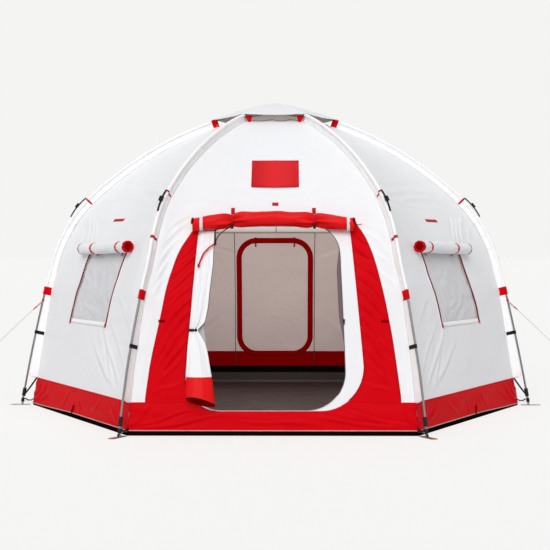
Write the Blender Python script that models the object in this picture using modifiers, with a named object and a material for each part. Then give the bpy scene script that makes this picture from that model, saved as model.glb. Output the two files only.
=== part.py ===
"""Hexagonal pole tent with a front door, two side windows and a vent cap.

Metres, +Z up. The origin is on the ground under the crown, and the door faces -Y.
Six bow poles run from foot plates up through fabric sleeves to one crown hub.
"""

import math

import bmesh
import bpy
from mathutils import Matrix, Vector

# Bow pole: lengths along the pole from foot to crown, and the lean from upright at each joint
LEG_LENGTH = 1.13
LOWER_BOW_LENGTH = 0.30
SHOULDER_LENGTH = 0.775
ROOF_LENGTH = 1.435
CROWN_LENGTH = 0.595
FOOT_LEAN = 9.8
LEG_LEAN = 13.7
LOWER_BOW_LEAN = 15.3
SHOULDER_LEAN = 46.8
ROOF_LEAN = 71.4
CROWN_LEAN = 81.6
POLE_RADIUS = 0.0125

# Gaps left between pieces
SEAM_GAP = 0.0003
POLE_CLEARANCE = 0.0008
PIN_CLEARANCE = 0.0006
CAP_CLEARANCE = 0.0006

# Foot: hinge pin, plate and boot
HINGE_HEIGHT = 0.018
PIN_RADIUS = 0.0036
KNUCKLE_RADIUS = 0.0095
KNUCKLE_WIDTH = 0.018
LUG_THICKNESS = 0.004
PLATE_LENGTH = 0.19
PLATE_INNER_REACH = 0.075
PLATE_WIDTH = 0.056
PLATE_THICKNESS = 0.004
PLATE_CORNER = 0.012
PEG_HOLE_RADIUS = 0.006
PEG_HOLE_INSET = 0.022
BOOT_RADIUS = 0.0165
BOOT_START = 0.015
BOOT_TOP = 0.055
SPIGOT_RADIUS = 0.0065
SPIGOT_TOP = 0.072
END_CAP_RADIUS = 0.0185
END_CAP_TOP = 0.150
END_CAP_FLOOR = 0.080

# Canopy fabric and its ridge, which stands inside the poles
FABRIC = 0.003
FOOT_TO_CANOPY = 0.110
RIDGE_DEPTH = 0.066
PANEL_SAG = 0.095
GROUND_STRIP = 0.036
MUD_BAND_HEIGHT = 0.27
PANEL_COLUMNS = 6

# Pole sleeve: a flat web from the ridge out to a tube round the pole
WEB_THICKNESS = 0.005
SLEEVE_WALL = 0.003
WEB_ABOVE_BAND = 0.003
WEB_FULL_WIDTH_AT = 0.37
WEB_TIP_WIDTH = 0.014
WEB_TO_POLE = 0.003

# Groundsheet tub
TUB_HEIGHT = 0.20
TUB_FLOOR = 0.004

# Crown hub, vent cap and vent mesh
HUB_RADIUS = 0.085
HUB_BELOW_POLE = 0.036
HUB_ABOVE_POLE = 0.0145
HUB_SOCKET_END = 0.034
CAP_OVERHANG = 0.028
CAP_PEAK = 0.014
MESH_THICKNESS = 0.002

# Door in the front panel
DOOR_SILL = 0.20
DOOR_HEAD = 1.74
DOOR_SILL_HALF = 0.600
DOOR_HEAD_HALF = 0.545
DOOR_SILL_CORNER = 0.34
DOOR_HEAD_CORNER = 0.25
SURROUND_SILL_HALF = 0.783
SURROUND_HEAD_HALF = 0.645
SURROUND_SILL_CORNER = 0.40
SURROUND_HEAD_CORNER = 0.06
SURROUND_HEAD = 1.75
SURROUND_OUTER = ((1.058, 0.0), (0.993, 0.51), (0.935, 0.82), (0.858, 1.154), (0.775, 1.35), (0.70, 1.50))
SURROUND_TOP = 1.80

# Door leaf in the rear panel
REAR_SILL = 0.325
REAR_HEAD = 1.66
REAR_HALF = 0.425
REAR_CORNER = 0.22

# Window in each front side panel, measured along the panel towards the front
WINDOW_SILL = 0.87
WINDOW_HEAD = 1.50
WINDOW_BACK_SILL = -0.455
WINDOW_FRONT_SILL = 0.390
WINDOW_BACK_HEAD = -0.380
WINDOW_FRONT_HEAD = 0.460
WINDOW_CORNER = 0.03
WINDOW_LAP = 0.02

# Rolled door awning and its ties
AWNING_HALF = 0.68
AWNING_RADIUS = 0.067
AWNING_END_RADIUS = 0.056
AWNING_WAIST_RADIUS = 0.046
AWNING_ROW = 1.79
AWNING_DROOP = 0.035
TIE_OFFSET = 0.348
TIE_WIDTH = 0.036
TIE_THICKNESS = 0.004
TIE_GAP = 0.0005
TIE_MARGIN = 0.008
AWNING_GAP = 0.0008

# Rolled window blinds, hung just above the window head
BLIND_ABOVE_HEAD = 0.055
BLIND_RADIUS = 0.055
BLIND_BACK = -0.565
BLIND_FRONT = 0.625
BLIND_WAIST_RADIUS = 0.046
BLIND_TIE_OFFSET = 0.30
BLIND_WAIST_HALF = 0.015
BLIND_GAP = 0.0016

# Tied-back door curtain: height, left edge, right edge and depth of each section, top to bottom
CURTAIN_SECTIONS = (
    (1.690, -0.600, -0.470, 0.014),
    (1.600, -0.625, -0.478, 0.026),
    (1.510, -0.642, -0.488, 0.031),
    (1.420, -0.655, -0.500, 0.034),
    (1.180, -0.672, -0.515, 0.040),
    (1.020, -0.684, -0.545, 0.044),
    (0.930, -0.694, -0.605, 0.044),
    (0.865, -0.704, -0.660, 0.036),
    (0.820, -0.712, -0.640, 0.046),
    (0.740, -0.728, -0.585, 0.070),
    (0.620, -0.736, -0.550, 0.094),
    (0.470, -0.732, -0.512, 0.112),
    (0.300, -0.738, -0.475, 0.124),
)
CURTAIN_POINTS = 28
CURTAIN_FOLDS = 7
CURTAIN_FOLD_DEPTH = 0.16
CURTAIN_SEAT = 0.0006
CURTAIN_STANDOFF = 0.013
CURTAIN_STANDOFF_AT = 0.18

# Zip sliders
SLIDER_LENGTH = 0.030
SLIDER_WIDTH = 0.016
SLIDER_HEIGHT = 0.007
PULL_LENGTH = 0.032
PULL_WIDTH = 0.009
PULL_THICKNESS = 0.0025
DOOR_ZIP_MARGIN = 0.012
DOOR_SLIDER_HEIGHT = 0.935
WINDOW_SLIDER_HEIGHT = 0.865
WINDOW_ZIP_MARGIN = 0.014

# Guy lines, runners and pegs in the vertical plane of the two mid poles
GUY_DIAMETER = 0.004
GUY_TOP_ALONG_LEG = 1.035
GUY_GROUND_RADIUS = 3.385
GUY_SAG = 0.010
GUY_POINTS = 26
GUY_STRAIGHT = 0.40
RUNNER_AT = 0.085
RUNNER_LENGTH = 0.040
RUNNER_WIDTH = 0.014
RUNNER_HEIGHT = 0.010
RUNNER_BORE = 0.0026
PEG_RADIUS = 0.0035
PEG_LENGTH = 0.19
PEG_HOOK_RADIUS = 0.011
PEG_HOOK_POINTS = 7
PEG_LOOP_INSET = 0.012

# Angles of the six ribs and of the six sides between them, in degrees round +Z from +X
RIBS = {
    "mid_right": 0,
    "rear_right": 60,
    "rear_left": 120,
    "mid_left": 180,
    "front_left": 240,
    "front_right": 300,
}
SIDES = {
    "rear_right": 30,
    "rear": 90,
    "rear_left": 150,
    "front_left": 210,
    "front": 270,
    "front_right": 330,
}
HALF_SECTOR = math.radians(30)

# Colours: base colour, roughness, metallic
WHITE_FABRIC = ((0.86, 0.87, 0.89), 0.75, 0.0)
RED_FABRIC = ((0.72, 0.02, 0.03), 0.70, 0.0)
GROUND_FABRIC = ((0.06, 0.06, 0.065), 0.80, 0.0)
MESH_FABRIC = ((0.62, 0.60, 0.58), 0.90, 0.0)
ALUMINIUM = ((0.62, 0.63, 0.64), 0.35, 1.0)
BLACK_PLASTIC = ((0.02, 0.02, 0.022), 0.50, 0.0)
STEEL = ((0.30, 0.30, 0.31), 0.45, 1.0)
GREY_CORD = ((0.55, 0.55, 0.54), 0.85, 0.0)
RED_PLASTIC = ((0.55, 0.02, 0.03), 0.45, 0.0)


# Scene and collections
for old in list(bpy.data.objects):
    bpy.data.objects.remove(old, do_unlink=True)
tent = bpy.data.collections.new("pole_tent")
bpy.context.scene.collection.children.link(tent)
cutters = bpy.data.collections.new("pole_tent_cutters")
bpy.context.scene.collection.children.link(cutters)


def material(name, finish):
    """One Principled material from a (colour, roughness, metallic) finish."""
    colour, roughness, metallic = finish
    made = bpy.data.materials.new(name)
    made.use_nodes = True
    shader = made.node_tree.nodes["Principled BSDF"]
    shader.inputs["Base Color"].default_value = (*colour, 1.0)
    shader.inputs["Roughness"].default_value = roughness
    shader.inputs["Metallic"].default_value = metallic
    return made


def add_object(name, mesh, finish, smooth=False):
    """Puts a mesh in the tent's collection under its node name, with its own material."""
    made = bpy.data.objects.new(name, mesh)
    tent.objects.link(made)
    made.data.materials.append(material(name, finish))
    if smooth:
        mesh.shade_smooth()
        mesh.set_sharp_from_angle(angle=math.radians(40))
    return made


def add_cutter(name, mesh):
    """Puts a mesh among the cutters, hidden and drawn as a wire."""
    made = bpy.data.objects.new(name, mesh)
    cutters.objects.link(made)
    made.hide_render = True
    made.display_type = "WIRE"
    return made


def boolean(target, tool, operation, solver="EXACT"):
    """Adds a Boolean to the target; thin fabric sheets need the manifold solver."""
    step = target.modifiers.new(tool.name, "BOOLEAN")
    step.operation = operation
    step.solver = solver
    step.object = tool


def mesh_from(name, bm):
    """Turns a bmesh into a mesh with its faces pointing outwards."""
    bmesh.ops.recalc_face_normals(bm, faces=bm.faces)
    mesh = bpy.data.meshes.new(name)
    bm.to_mesh(mesh)
    bm.free()
    return mesh


def evaluated_mesh(name, source):
    """Mesh of an object's evaluated shape in world space, with loose caps welded."""
    bpy.context.view_layer.update()
    graph = bpy.context.evaluated_depsgraph_get()
    mesh = bpy.data.meshes.new_from_object(source.evaluated_get(graph))
    bm = bmesh.new()
    bm.from_mesh(mesh)
    bmesh.ops.remove_doubles(bm, verts=bm.verts, dist=0.00002)
    bmesh.ops.transform(bm, matrix=source.matrix_world, verts=bm.verts)
    bpy.data.meshes.remove(mesh)
    bpy.data.objects.remove(source, do_unlink=True)
    return mesh_from(name, bm)


def loft_mesh(name, rings):
    """Closed skin through rings of equally many points, with a flat cap on each end ring."""
    bm = bmesh.new()
    rows = [[bm.verts.new(point) for point in ring] for ring in rings]
    count = len(rings[0])
    for low, high in zip(rows, rows[1:]):
        for i in range(count):
            j = (i + 1) % count
            bm.faces.new((low[i], low[j], high[j], high[i]))
    bm.faces.new(list(reversed(rows[0])))
    bm.faces.new(rows[-1])
    return mesh_from(name, bm)


def tube_mesh(name, points, radius, resolution=2):
    """Round tube along a list of points: a poly curve with a bevel and filled caps."""
    curve = bpy.data.curves.new(name, "CURVE")
    curve.dimensions = "3D"
    curve.bevel_depth = radius
    curve.bevel_resolution = resolution
    curve.use_fill_caps = True
    spline = curve.splines.new("POLY")
    spline.points.add(len(points) - 1)
    for place, point in zip(spline.points, points):
        place.co = (*point, 1.0)
    source = bpy.data.objects.new(name, curve)
    cutters.objects.link(source)
    return evaluated_mesh(name, source)


def plate_mesh(name, outline, thickness, place):
    """Flat plate from a closed outline in its own XY plane, centred on that plane."""
    curve = bpy.data.curves.new(name, "CURVE")
    curve.dimensions = "2D"
    curve.fill_mode = "BOTH"
    curve.extrude = thickness / 2
    spline = curve.splines.new("POLY")
    spline.points.add(len(outline) - 1)
    spline.use_cyclic_u = True
    for point, (x, y) in zip(spline.points, outline):
        point.co = (x, y, 0.0, 1.0)
    source = bpy.data.objects.new(name, curve)
    cutters.objects.link(source)
    source.matrix_world = place
    return evaluated_mesh(name, source)


def box_mesh(name, size, place):
    """Box of the given size centred on a placement matrix."""
    bm = bmesh.new()
    bmesh.ops.create_cube(bm, size=1.0)
    bmesh.ops.transform(bm, matrix=place @ Matrix.Diagonal((*size, 1.0)), verts=bm.verts)
    return mesh_from(name, bm)


def cylinder_mesh(name, radius, length, place, segments=12):
    """Cylinder along the local Z of a placement matrix, centred on it."""
    bm = bmesh.new()
    bmesh.ops.create_cone(
        bm, cap_ends=True, segments=segments, radius1=radius, radius2=radius, depth=length, matrix=place
    )
    return mesh_from(name, bm)


def turned(name, profile, finish, steps, turn=0.0, smooth=False):
    """Shape turned round Z from a profile that runs down its outer side, in a number of steps."""
    bm = bmesh.new()
    closed = profile[0] == profile[-1]
    corners = profile[:-1] if closed else profile
    points = [bm.verts.new((radius * math.cos(turn), radius * math.sin(turn), z)) for radius, z in corners]
    for a, b in zip(points, points[1:] + points[:1] if closed else points[1:]):
        bm.edges.new((a, b))
    mesh = bpy.data.meshes.new(name)
    bm.to_mesh(mesh)
    bm.free()
    made = add_object(name, mesh, finish, smooth)
    screw = made.modifiers.new("turn", "SCREW")
    screw.axis = "Z"
    screw.angle = math.tau
    screw.steps = steps
    screw.render_steps = steps
    screw.use_merge_vertices = True
    screw.merge_threshold = 0.00002
    screw.use_smooth_shade = smooth
    return made


def union_mesh(name, parts, cuts=()):
    """One mesh from the Boolean union of several, less the cuts."""
    base = add_cutter(f"{name}_base", parts[0])
    for k, part in enumerate(parts[1:]):
        boolean(base, add_cutter(f"{name}_part_{k}", part), "UNION")
    for k, cut in enumerate(cuts):
        boolean(base, add_cutter(f"{name}_cut_{k}", cut), "DIFFERENCE")
    bpy.context.view_layer.update()
    graph = bpy.context.evaluated_depsgraph_get()
    mesh = bpy.data.meshes.new_from_object(base.evaluated_get(graph))
    mesh.name = name
    return mesh


def bow_stations():
    """Stations (radius, height, lean) of the pole's centre line from foot hinge to crown."""
    sections = (
        (LEG_LENGTH, LEG_LEAN, 3),
        (LOWER_BOW_LENGTH, LOWER_BOW_LEAN, 1),
        (SHOULDER_LENGTH, SHOULDER_LEAN, 5),
        (ROOF_LENGTH, ROOF_LEAN, 5),
        (CROWN_LENGTH, CROWN_LEAN, 3),
    )
    radius, height, lean = 0.0, HINGE_HEIGHT, FOOT_LEAN
    found, joints = [(radius, height, lean)], {}
    for name, (length, end_lean, steps) in zip(("leg", "lower", "shoulder", "roof", "crown"), sections):
        start = lean
        for k in range(steps):
            middle = math.radians(start + (end_lean - start) * (k + 0.5) / steps)
            radius -= math.sin(middle) * length / steps
            height += math.cos(middle) * length / steps
            lean = start + (end_lean - start) * (k + 1) / steps
            found.append((radius, height, lean))
        joints[name] = len(found) - 1
    foot = -radius
    return [(r + foot, z, math.radians(a)) for r, z, a in found], joints


BOW, JOINTS = bow_stations()
FOOT_RADIUS = BOW[0][0]
LEG_TOP = JOINTS["leg"]
RIM = JOINTS["roof"]


def outward(station, distance):
    """Point (radius, height) at a distance outwards from a station, square to the pole."""
    radius, height, lean = station
    return radius + distance * math.cos(lean), height + distance * math.sin(lean)


def leg_point(along):
    """Centre-line station at a distance up the leg from the hinge."""
    for low, high in zip(BOW, BOW[1:]):
        step = math.dist(low[:2], high[:2])
        if along <= step or high is BOW[LEG_TOP]:
            t = along / step
            return tuple(a + (b - a) * t for a, b in zip(low, high))
        along -= step


# Canopy ridge: a straight wall up to the leg's top, then a line inside the bow pole
WALL_FOOT = (FOOT_RADIUS - FOOT_TO_CANOPY, 0.0)
WALL_TOP = outward(BOW[LEG_TOP], -RIDGE_DEPTH)
WALL_LEAN = math.atan2(WALL_FOOT[0] - WALL_TOP[0], WALL_TOP[1])


def wall_radius(height):
    """Radius of the straight wall's corner at a height."""
    return WALL_FOOT[0] + (WALL_TOP[0] - WALL_FOOT[0]) * height / WALL_TOP[1]


def ridge_rows():
    """Rows (corner radius, height, lean, sag) of the canopy from the ground strip to the vent rim."""
    low = GROUND_STRIP + SEAM_GAP + FABRIC * math.sin(WALL_LEAN)
    rows = [(wall_radius(z), z, WALL_LEAN, 0.0) for z in (low, MUD_BAND_HEIGHT)]
    count = RIM - LEG_TOP
    for k in range(count + 1):
        station = BOW[LEG_TOP + k]
        radius, height = outward(station, -RIDGE_DEPTH)
        t = k / count
        rows.append((radius, height, station[2], PANEL_SAG * 4 * t * (1 - t)))
    return rows


ROWS = ridge_rows()


def side_lean(lean):
    """Lean of a flat side from the lean of its corner ribs."""
    return math.atan2(math.sin(lean) * math.cos(HALF_SECTOR), math.cos(lean))


def around(angle, point):
    """Turns a point (outwards, sideways, up) to a side or rib at an angle in degrees."""
    return Matrix.Rotation(math.radians(angle), 4, "Z") @ Vector(point)


def panel_point(angle, row, across, out):
    """Point of a side panel at a row, at a fraction across it, and at a distance outwards."""
    radius, height, lean, sag = row
    tilt = side_lean(lean)
    lift = out - sag * (1 - across * across)
    edge = radius * math.cos(HALF_SECTOR) + out * math.cos(tilt)
    half = edge * math.tan(HALF_SECTOR) - SEAM_GAP
    distance = radius * math.cos(HALF_SECTOR) + lift * math.cos(tilt)
    return around(angle, (distance, across * half, height + lift * math.sin(tilt)))


def panel_sheet(name, angle, rows, inner, outer):
    """Closed sheet over a side panel between two distances from its outer face."""
    steps = [2 * k / PANEL_COLUMNS - 1 for k in range(PANEL_COLUMNS + 1)]
    bm = bmesh.new()
    back, front = (
        [[bm.verts.new(panel_point(angle, row, across, out)) for across in steps] for row in rows]
        for out in (inner, outer)
    )
    for face in (back, front):
        for low, high in zip(face, face[1:]):
            for k in range(PANEL_COLUMNS):
                corners = (low[k], low[k + 1], high[k + 1], high[k])
                shift = 0 if k < PANEL_COLUMNS // 2 else 1
                a, b, c, d = corners[shift:] + corners[:shift]
                bm.faces.new((a, b, c))
                bm.faces.new((a, c, d))
    for k in (0, PANEL_COLUMNS):
        for r in range(len(rows) - 1):
            bm.faces.new((back[r][k], back[r + 1][k], front[r + 1][k], front[r][k]))
    for r in (0, len(rows) - 1):
        for k in range(PANEL_COLUMNS):
            bm.faces.new((back[r][k], back[r][k + 1], front[r][k + 1], front[r][k]))
    return mesh_from(name, bm)


def row_between(height):
    """The two panel rows round a row height, and the share of the way between them."""
    for low, high in zip(ROWS, ROWS[1:]):
        if height <= high[1]:
            break
    return low, high, (height - low[1]) / (high[1] - low[1])


def on_panel(angle, along, height, out):
    """Point on a side panel's facets at a length along it and a height, and its outward normal."""
    row_height = height
    for _ in range(6):
        low, high, share = row_between(row_height)
        row = tuple(a + (b - a) * share for a, b in zip(low, high))
        across = along / (row[0] * math.sin(HALF_SECTOR))
        column = min(int((across + 1) * PANEL_COLUMNS / 2), PANEL_COLUMNS - 1)
        near, far = (2 * k / PANEL_COLUMNS - 1 for k in (column, column + 1))
        if column >= PANEL_COLUMNS // 2:
            near, far = far, near
        part_way = (across - near) / (far - near)
        low_near, low_far = (panel_point(angle, low, side, out) for side in (near, far))
        high_near, high_far = (panel_point(angle, high, side, out) for side in (near, far))
        if part_way > share:
            point = low_near + (low_far - low_near) * part_way + (high_far - low_far) * share
        else:
            point = low_near + (high_near - low_near) * share + (high_far - high_near) * part_way
        row_height += height - point.z
    tilt = side_lean(row[2])
    return point, around(angle, (math.cos(tilt), 0.0, math.sin(tilt)))


def rounded(corners, radii, steps=5):
    """Outline through corners, each rounded by an arc of its radius."""
    found = []
    count = len(corners)
    for k, (corner, radius) in enumerate(zip(corners, radii)):
        here = Vector(corner)
        before = (Vector(corners[k - 1]) - here).normalized()
        after = (Vector(corners[(k + 1) % count]) - here).normalized()
        half = before.angle(after) / 2
        centre = here + (before + after).normalized() * radius / math.sin(half)
        start = here + before * radius / math.tan(half) - centre
        turn = math.pi - 2 * half
        sign = 1 if before.x * after.y - before.y * after.x < 0 else -1
        for i in range(steps + 1):
            spun = Matrix.Rotation(sign * turn * i / steps, 2) @ start
            found.append(tuple(centre + spun))
    return found


def widened(outline, margin):
    """Outline grown outwards by a margin, or shrunk by a negative one."""
    points = [Vector(point) for point in outline]
    found = []
    for k, here in enumerate(points):
        before = (here - points[k - 1]).normalized()
        after = (points[(k + 1) % len(points)] - here).normalized()
        mean = (before + after).normalized()
        square = Vector((mean.y, -mean.x))
        found.append(tuple(here + square * margin / max(0.5, mean.dot(before))))
    return found


def side_prism(name, angle, outline, reach=3.2, thickness=3.0):
    """Prism through a side panel from an outline of (along, height) points, as a cutter."""
    place = Matrix.Rotation(math.radians(angle + 90), 4, "Z")
    place = place @ Matrix.Translation((0, -reach + thickness / 2, 0)) @ Matrix.Rotation(math.pi / 2, 4, "X")
    return add_cutter(name, plate_mesh(name, outline, thickness, place))


def door_outline(sill_half, head_half, sill, head, sill_corner, head_corner):
    """Four-cornered door outline with rounded corners, anticlockwise from the sill."""
    corners = [(-sill_half, sill), (sill_half, sill), (head_half, head), (-head_half, head)]
    return rounded(corners, (sill_corner, sill_corner, head_corner, head_corner))


DOOR = door_outline(DOOR_SILL_HALF, DOOR_HEAD_HALF, DOOR_SILL, DOOR_HEAD, DOOR_SILL_CORNER, DOOR_HEAD_CORNER)
SURROUND_INNER = door_outline(
    SURROUND_SILL_HALF,
    SURROUND_HEAD_HALF,
    DOOR_SILL,
    SURROUND_HEAD,
    SURROUND_SILL_CORNER,
    SURROUND_HEAD_CORNER,
)
REAR_DOOR = door_outline(REAR_HALF, REAR_HALF, REAR_SILL, REAR_HEAD, REAR_CORNER, REAR_CORNER)


def window_outline(mirror):
    """Window outline on a front side panel; mirror is 1 on the left side and -1 on the right."""
    corners = [
        (WINDOW_BACK_SILL, WINDOW_SILL),
        (WINDOW_FRONT_SILL, WINDOW_SILL),
        (WINDOW_FRONT_HEAD, WINDOW_HEAD),
        (WINDOW_BACK_HEAD, WINDOW_HEAD),
    ]
    if mirror < 0:
        corners = [(-x, z) for x, z in (corners[1], corners[0], corners[3], corners[2])]
    return rounded(corners, (WINDOW_CORNER,) * 4, steps=3)


# Bow poles
SPIGOT_END = END_CAP_FLOOR + SEAM_GAP
for rib, angle in RIBS.items():
    line = [leg_point(SPIGOT_END)] + BOW[1 : JOINTS["crown"]]
    inner = BOW[JOINTS["crown"]]
    last = BOW[JOINTS["crown"] - 1]
    share = 1 - HUB_SOCKET_END / last[0]
    line.append(tuple(a + (b - a) * share for a, b in zip(last, inner)))
    points = [around(angle, (r, 0.0, z)) for r, z, _ in line]
    add_object(f"arch_pole_{rib}", tube_mesh(f"arch_pole_{rib}", points, POLE_RADIUS), ALUMINIUM, True)

# Crown hub with six sockets
BORE_RADIUS = POLE_RADIUS + POLE_CLEARANCE
hub_height = BOW[JOINTS["crown"]][1]
hub = turned(
    "crown_hub",
    [
        (0.0, hub_height + HUB_ABOVE_POLE),
        (HUB_RADIUS * 0.8, hub_height + HUB_ABOVE_POLE),
        (HUB_RADIUS, hub_height + HUB_ABOVE_POLE / 2),
        (HUB_RADIUS, hub_height - HUB_BELOW_POLE),
        (0.0, hub_height - HUB_BELOW_POLE),
    ],
    BLACK_PLASTIC,
    24,
    smooth=True,
)
for rib, angle in RIBS.items():
    last, inner = BOW[JOINTS["crown"] - 1], BOW[JOINTS["crown"]]
    share = 1 - (HUB_SOCKET_END - SEAM_GAP) / last[0]
    end = tuple(a + (b - a) * share for a, b in zip(last, inner))
    points = [around(angle, (r, 0.0, z)) for r, z, _ in (end, last)]
    socket = f"hub_socket_{rib}"
    boolean(hub, add_cutter(socket, tube_mesh(socket, points, BORE_RADIUS)), "DIFFERENCE")

# Foot boots: boot, spigot pin and pole end cap, hinged to the plate
leg_tilt = math.atan2(BOW[0][0] - BOW[1][0], BOW[1][1] - BOW[0][1])
for rib, angle in RIBS.items():
    stand = Matrix.Rotation(math.radians(angle), 4, "Z") @ Matrix.Translation((FOOT_RADIUS, 0, HINGE_HEIGHT))
    stand = stand @ Matrix.Rotation(-leg_tilt, 4, "Y")
    across = Matrix.Rotation(math.pi / 2, 4, "X")
    boot = turned(
        f"foot_boot_{rib}",
        [
            (0.0, END_CAP_FLOOR),
            (BORE_RADIUS, END_CAP_FLOOR),
            (BORE_RADIUS, END_CAP_TOP),
            (END_CAP_RADIUS, END_CAP_TOP),
            (END_CAP_RADIUS, SPIGOT_TOP),
            (SPIGOT_RADIUS, SPIGOT_TOP),
            (SPIGOT_RADIUS, BOOT_TOP),
            (BOOT_RADIUS, BOOT_TOP - 0.004),
            (BOOT_RADIUS, BOOT_START),
            (KNUCKLE_RADIUS * 0.9, BOOT_START),
            (KNUCKLE_RADIUS * 0.9, 0.0),
            (0.0, 0.0),
        ],
        BLACK_PLASTIC,
        10,
        smooth=True,
    )
    boot.matrix_world = stand
    knuckle = cylinder_mesh(f"knuckle_{rib}", KNUCKLE_RADIUS, KNUCKLE_WIDTH, stand @ across)
    boolean(boot, add_cutter(f"knuckle_{rib}", knuckle), "UNION")
    hole = cylinder_mesh(f"pin_hole_{rib}", PIN_RADIUS + PIN_CLEARANCE, KNUCKLE_WIDTH * 3, stand @ across)
    boolean(boot, add_cutter(f"pin_hole_{rib}", hole), "DIFFERENCE")

# Foot plates: flat plate, two lugs and the hinge pin, turning about the pin
for rib, angle in RIBS.items():
    hinge = Matrix.Rotation(math.radians(angle), 4, "Z") @ Matrix.Translation((FOOT_RADIUS, 0, HINGE_HEIGHT))
    near, far = -PLATE_INNER_REACH, PLATE_LENGTH - PLATE_INNER_REACH
    half = PLATE_WIDTH / 2
    outline = rounded([(near, -half), (far, -half), (far, half), (near, half)], (PLATE_CORNER,) * 4, steps=3)
    flat = Matrix.Translation((0, 0, PLATE_THICKNESS / 2 - HINGE_HEIGHT))
    parts = [plate_mesh("plate", outline, PLATE_THICKNESS, flat)]
    lug_place = KNUCKLE_WIDTH / 2 + SEAM_GAP * 2 + LUG_THICKNESS / 2
    lug_drop = HINGE_HEIGHT - PLATE_THICKNESS / 2
    for side in (-1, 1):
        lug = Matrix.Translation((0, side * lug_place, 0))
        size = (KNUCKLE_RADIUS * 2, LUG_THICKNESS, lug_drop)
        parts.append(box_mesh("lug", size, lug @ Matrix.Translation((0, 0, -lug_drop / 2))))
        parts.append(cylinder_mesh("lug_head", KNUCKLE_RADIUS, LUG_THICKNESS, lug @ across))
    parts.append(cylinder_mesh("pin", PIN_RADIUS, lug_place * 2, across))
    hole_place = Matrix.Translation((far - PEG_HOLE_INSET, 0, -HINGE_HEIGHT))
    hole = cylinder_mesh("peg_hole", PEG_HOLE_RADIUS, PLATE_THICKNESS * 4, hole_place)
    plate = add_object(f"foot_plate_{rib}", union_mesh(f"foot_plate_{rib}", parts, [hole]), STEEL)
    plate.matrix_world = hinge

# Groundsheet tub, turned in six flat sides
CORNER_SPREAD = 1 / (math.cos(side_lean(WALL_LEAN)) * math.cos(HALF_SECTOR))


def wall_offset(height, out):
    """Corner radius of a layer of the wall at a height and a distance outwards."""
    return wall_radius(height) + out * CORNER_SPREAD


inside = -FABRIC - SEAM_GAP
turned(
    "groundsheet",
    [
        (0.0, TUB_FLOOR),
        (wall_offset(TUB_FLOOR, inside - FABRIC), TUB_FLOOR),
        (wall_offset(TUB_HEIGHT, inside - FABRIC), TUB_HEIGHT),
        (wall_offset(TUB_HEIGHT, inside), TUB_HEIGHT),
        (wall_offset(GROUND_STRIP, inside), GROUND_STRIP),
        (wall_offset(GROUND_STRIP, FABRIC), GROUND_STRIP),
        (wall_offset(0.0, FABRIC), 0.0),
        (0.0, 0.0),
    ],
    GROUND_FABRIC,
    6,
)

# Canopy panels, one between each pair of ribs
panels = {}
for side, angle in SIDES.items():
    name = f"canopy_panel_{side}"
    panels[side] = add_object(name, panel_sheet(name, angle, ROWS, -FABRIC, 0.0), WHITE_FABRIC)
door_cutter = side_prism("door_cutter", SIDES["front"], DOOR)
boolean(panels["front"], door_cutter, "DIFFERENCE", "MANIFOLD")

# Mud band round the foot of the walls, notched at the door
band_low, band_high = GROUND_STRIP + SEAM_GAP, MUD_BAND_HEIGHT
band_in, band_out = SEAM_GAP, SEAM_GAP + FABRIC
band = turned(
    "mud_band",
    [
        (wall_offset(band_high, band_in), band_high),
        (wall_offset(band_high, band_out), band_high),
        (wall_offset(band_low, band_out), band_low),
        (wall_offset(band_low, band_in), band_low),
        (wall_offset(band_high, band_in), band_high),
    ],
    RED_FABRIC,
    6,
)
surround_cutter = side_prism("surround_cutter", SIDES["front"], SURROUND_INNER)
boolean(band, surround_cutter, "DIFFERENCE", "MANIFOLD")

# Red surround sewn round the door
surround_low = MUD_BAND_HEIGHT + SEAM_GAP
surround_rows = [row for row in ROWS if row[1] < SURROUND_TOP + 0.25]
surround = add_object(
    "door_surround",
    panel_sheet("door_surround", SIDES["front"], surround_rows, band_in, band_out),
    RED_FABRIC,
)
right = [(x, surround_low + z) for x, z in SURROUND_OUTER] + [(SURROUND_OUTER[-1][0] - 0.03, SURROUND_TOP)]
outer_outline = right + [(-x, z) for x, z in reversed(right)]
boolean(surround, side_prism("surround_outer", SIDES["front"], outer_outline), "INTERSECT", "MANIFOLD")
boolean(surround, surround_cutter, "DIFFERENCE", "MANIFOLD")

# Rear door leaf, closed in its opening
rear_cutter = side_prism("rear_cutter", SIDES["rear"], widened(REAR_DOOR, SEAM_GAP))
boolean(panels["rear"], rear_cutter, "DIFFERENCE", "MANIFOLD")
rear_door = add_object(
    "rear_door",
    panel_sheet("rear_door", SIDES["rear"], ROWS[:8], -FABRIC, 0.0),
    WHITE_FABRIC,
)
rear_leaf = side_prism("rear_leaf", SIDES["rear"], widened(REAR_DOOR, -SEAM_GAP))
boolean(rear_door, rear_leaf, "INTERSECT", "MANIFOLD")

# Window mesh sewn behind each window opening
for side, mirror in (("front_left", 1), ("front_right", -1)):
    outline = window_outline(mirror)
    opening = side_prism(f"window_cutter_{side}", SIDES[side], outline)
    boolean(panels[side], opening, "DIFFERENCE", "MANIFOLD")
    name = f"window_mesh_{side}"
    mesh_back = -FABRIC - SEAM_GAP - MESH_THICKNESS
    screen = add_object(
        name,
        panel_sheet(name, SIDES[side], ROWS[1:7], mesh_back, -FABRIC - SEAM_GAP),
        MESH_FABRIC,
    )
    lap = side_prism(f"window_lap_{side}", SIDES[side], widened(outline, WINDOW_LAP))
    boolean(screen, lap, "INTERSECT", "MANIFOLD")

# Pole sleeves: web and tube along each rib
SLEEVE_RADIUS = BORE_RADIUS + SLEEVE_WALL
SLEEVE_ARC_POINTS = 9


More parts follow.
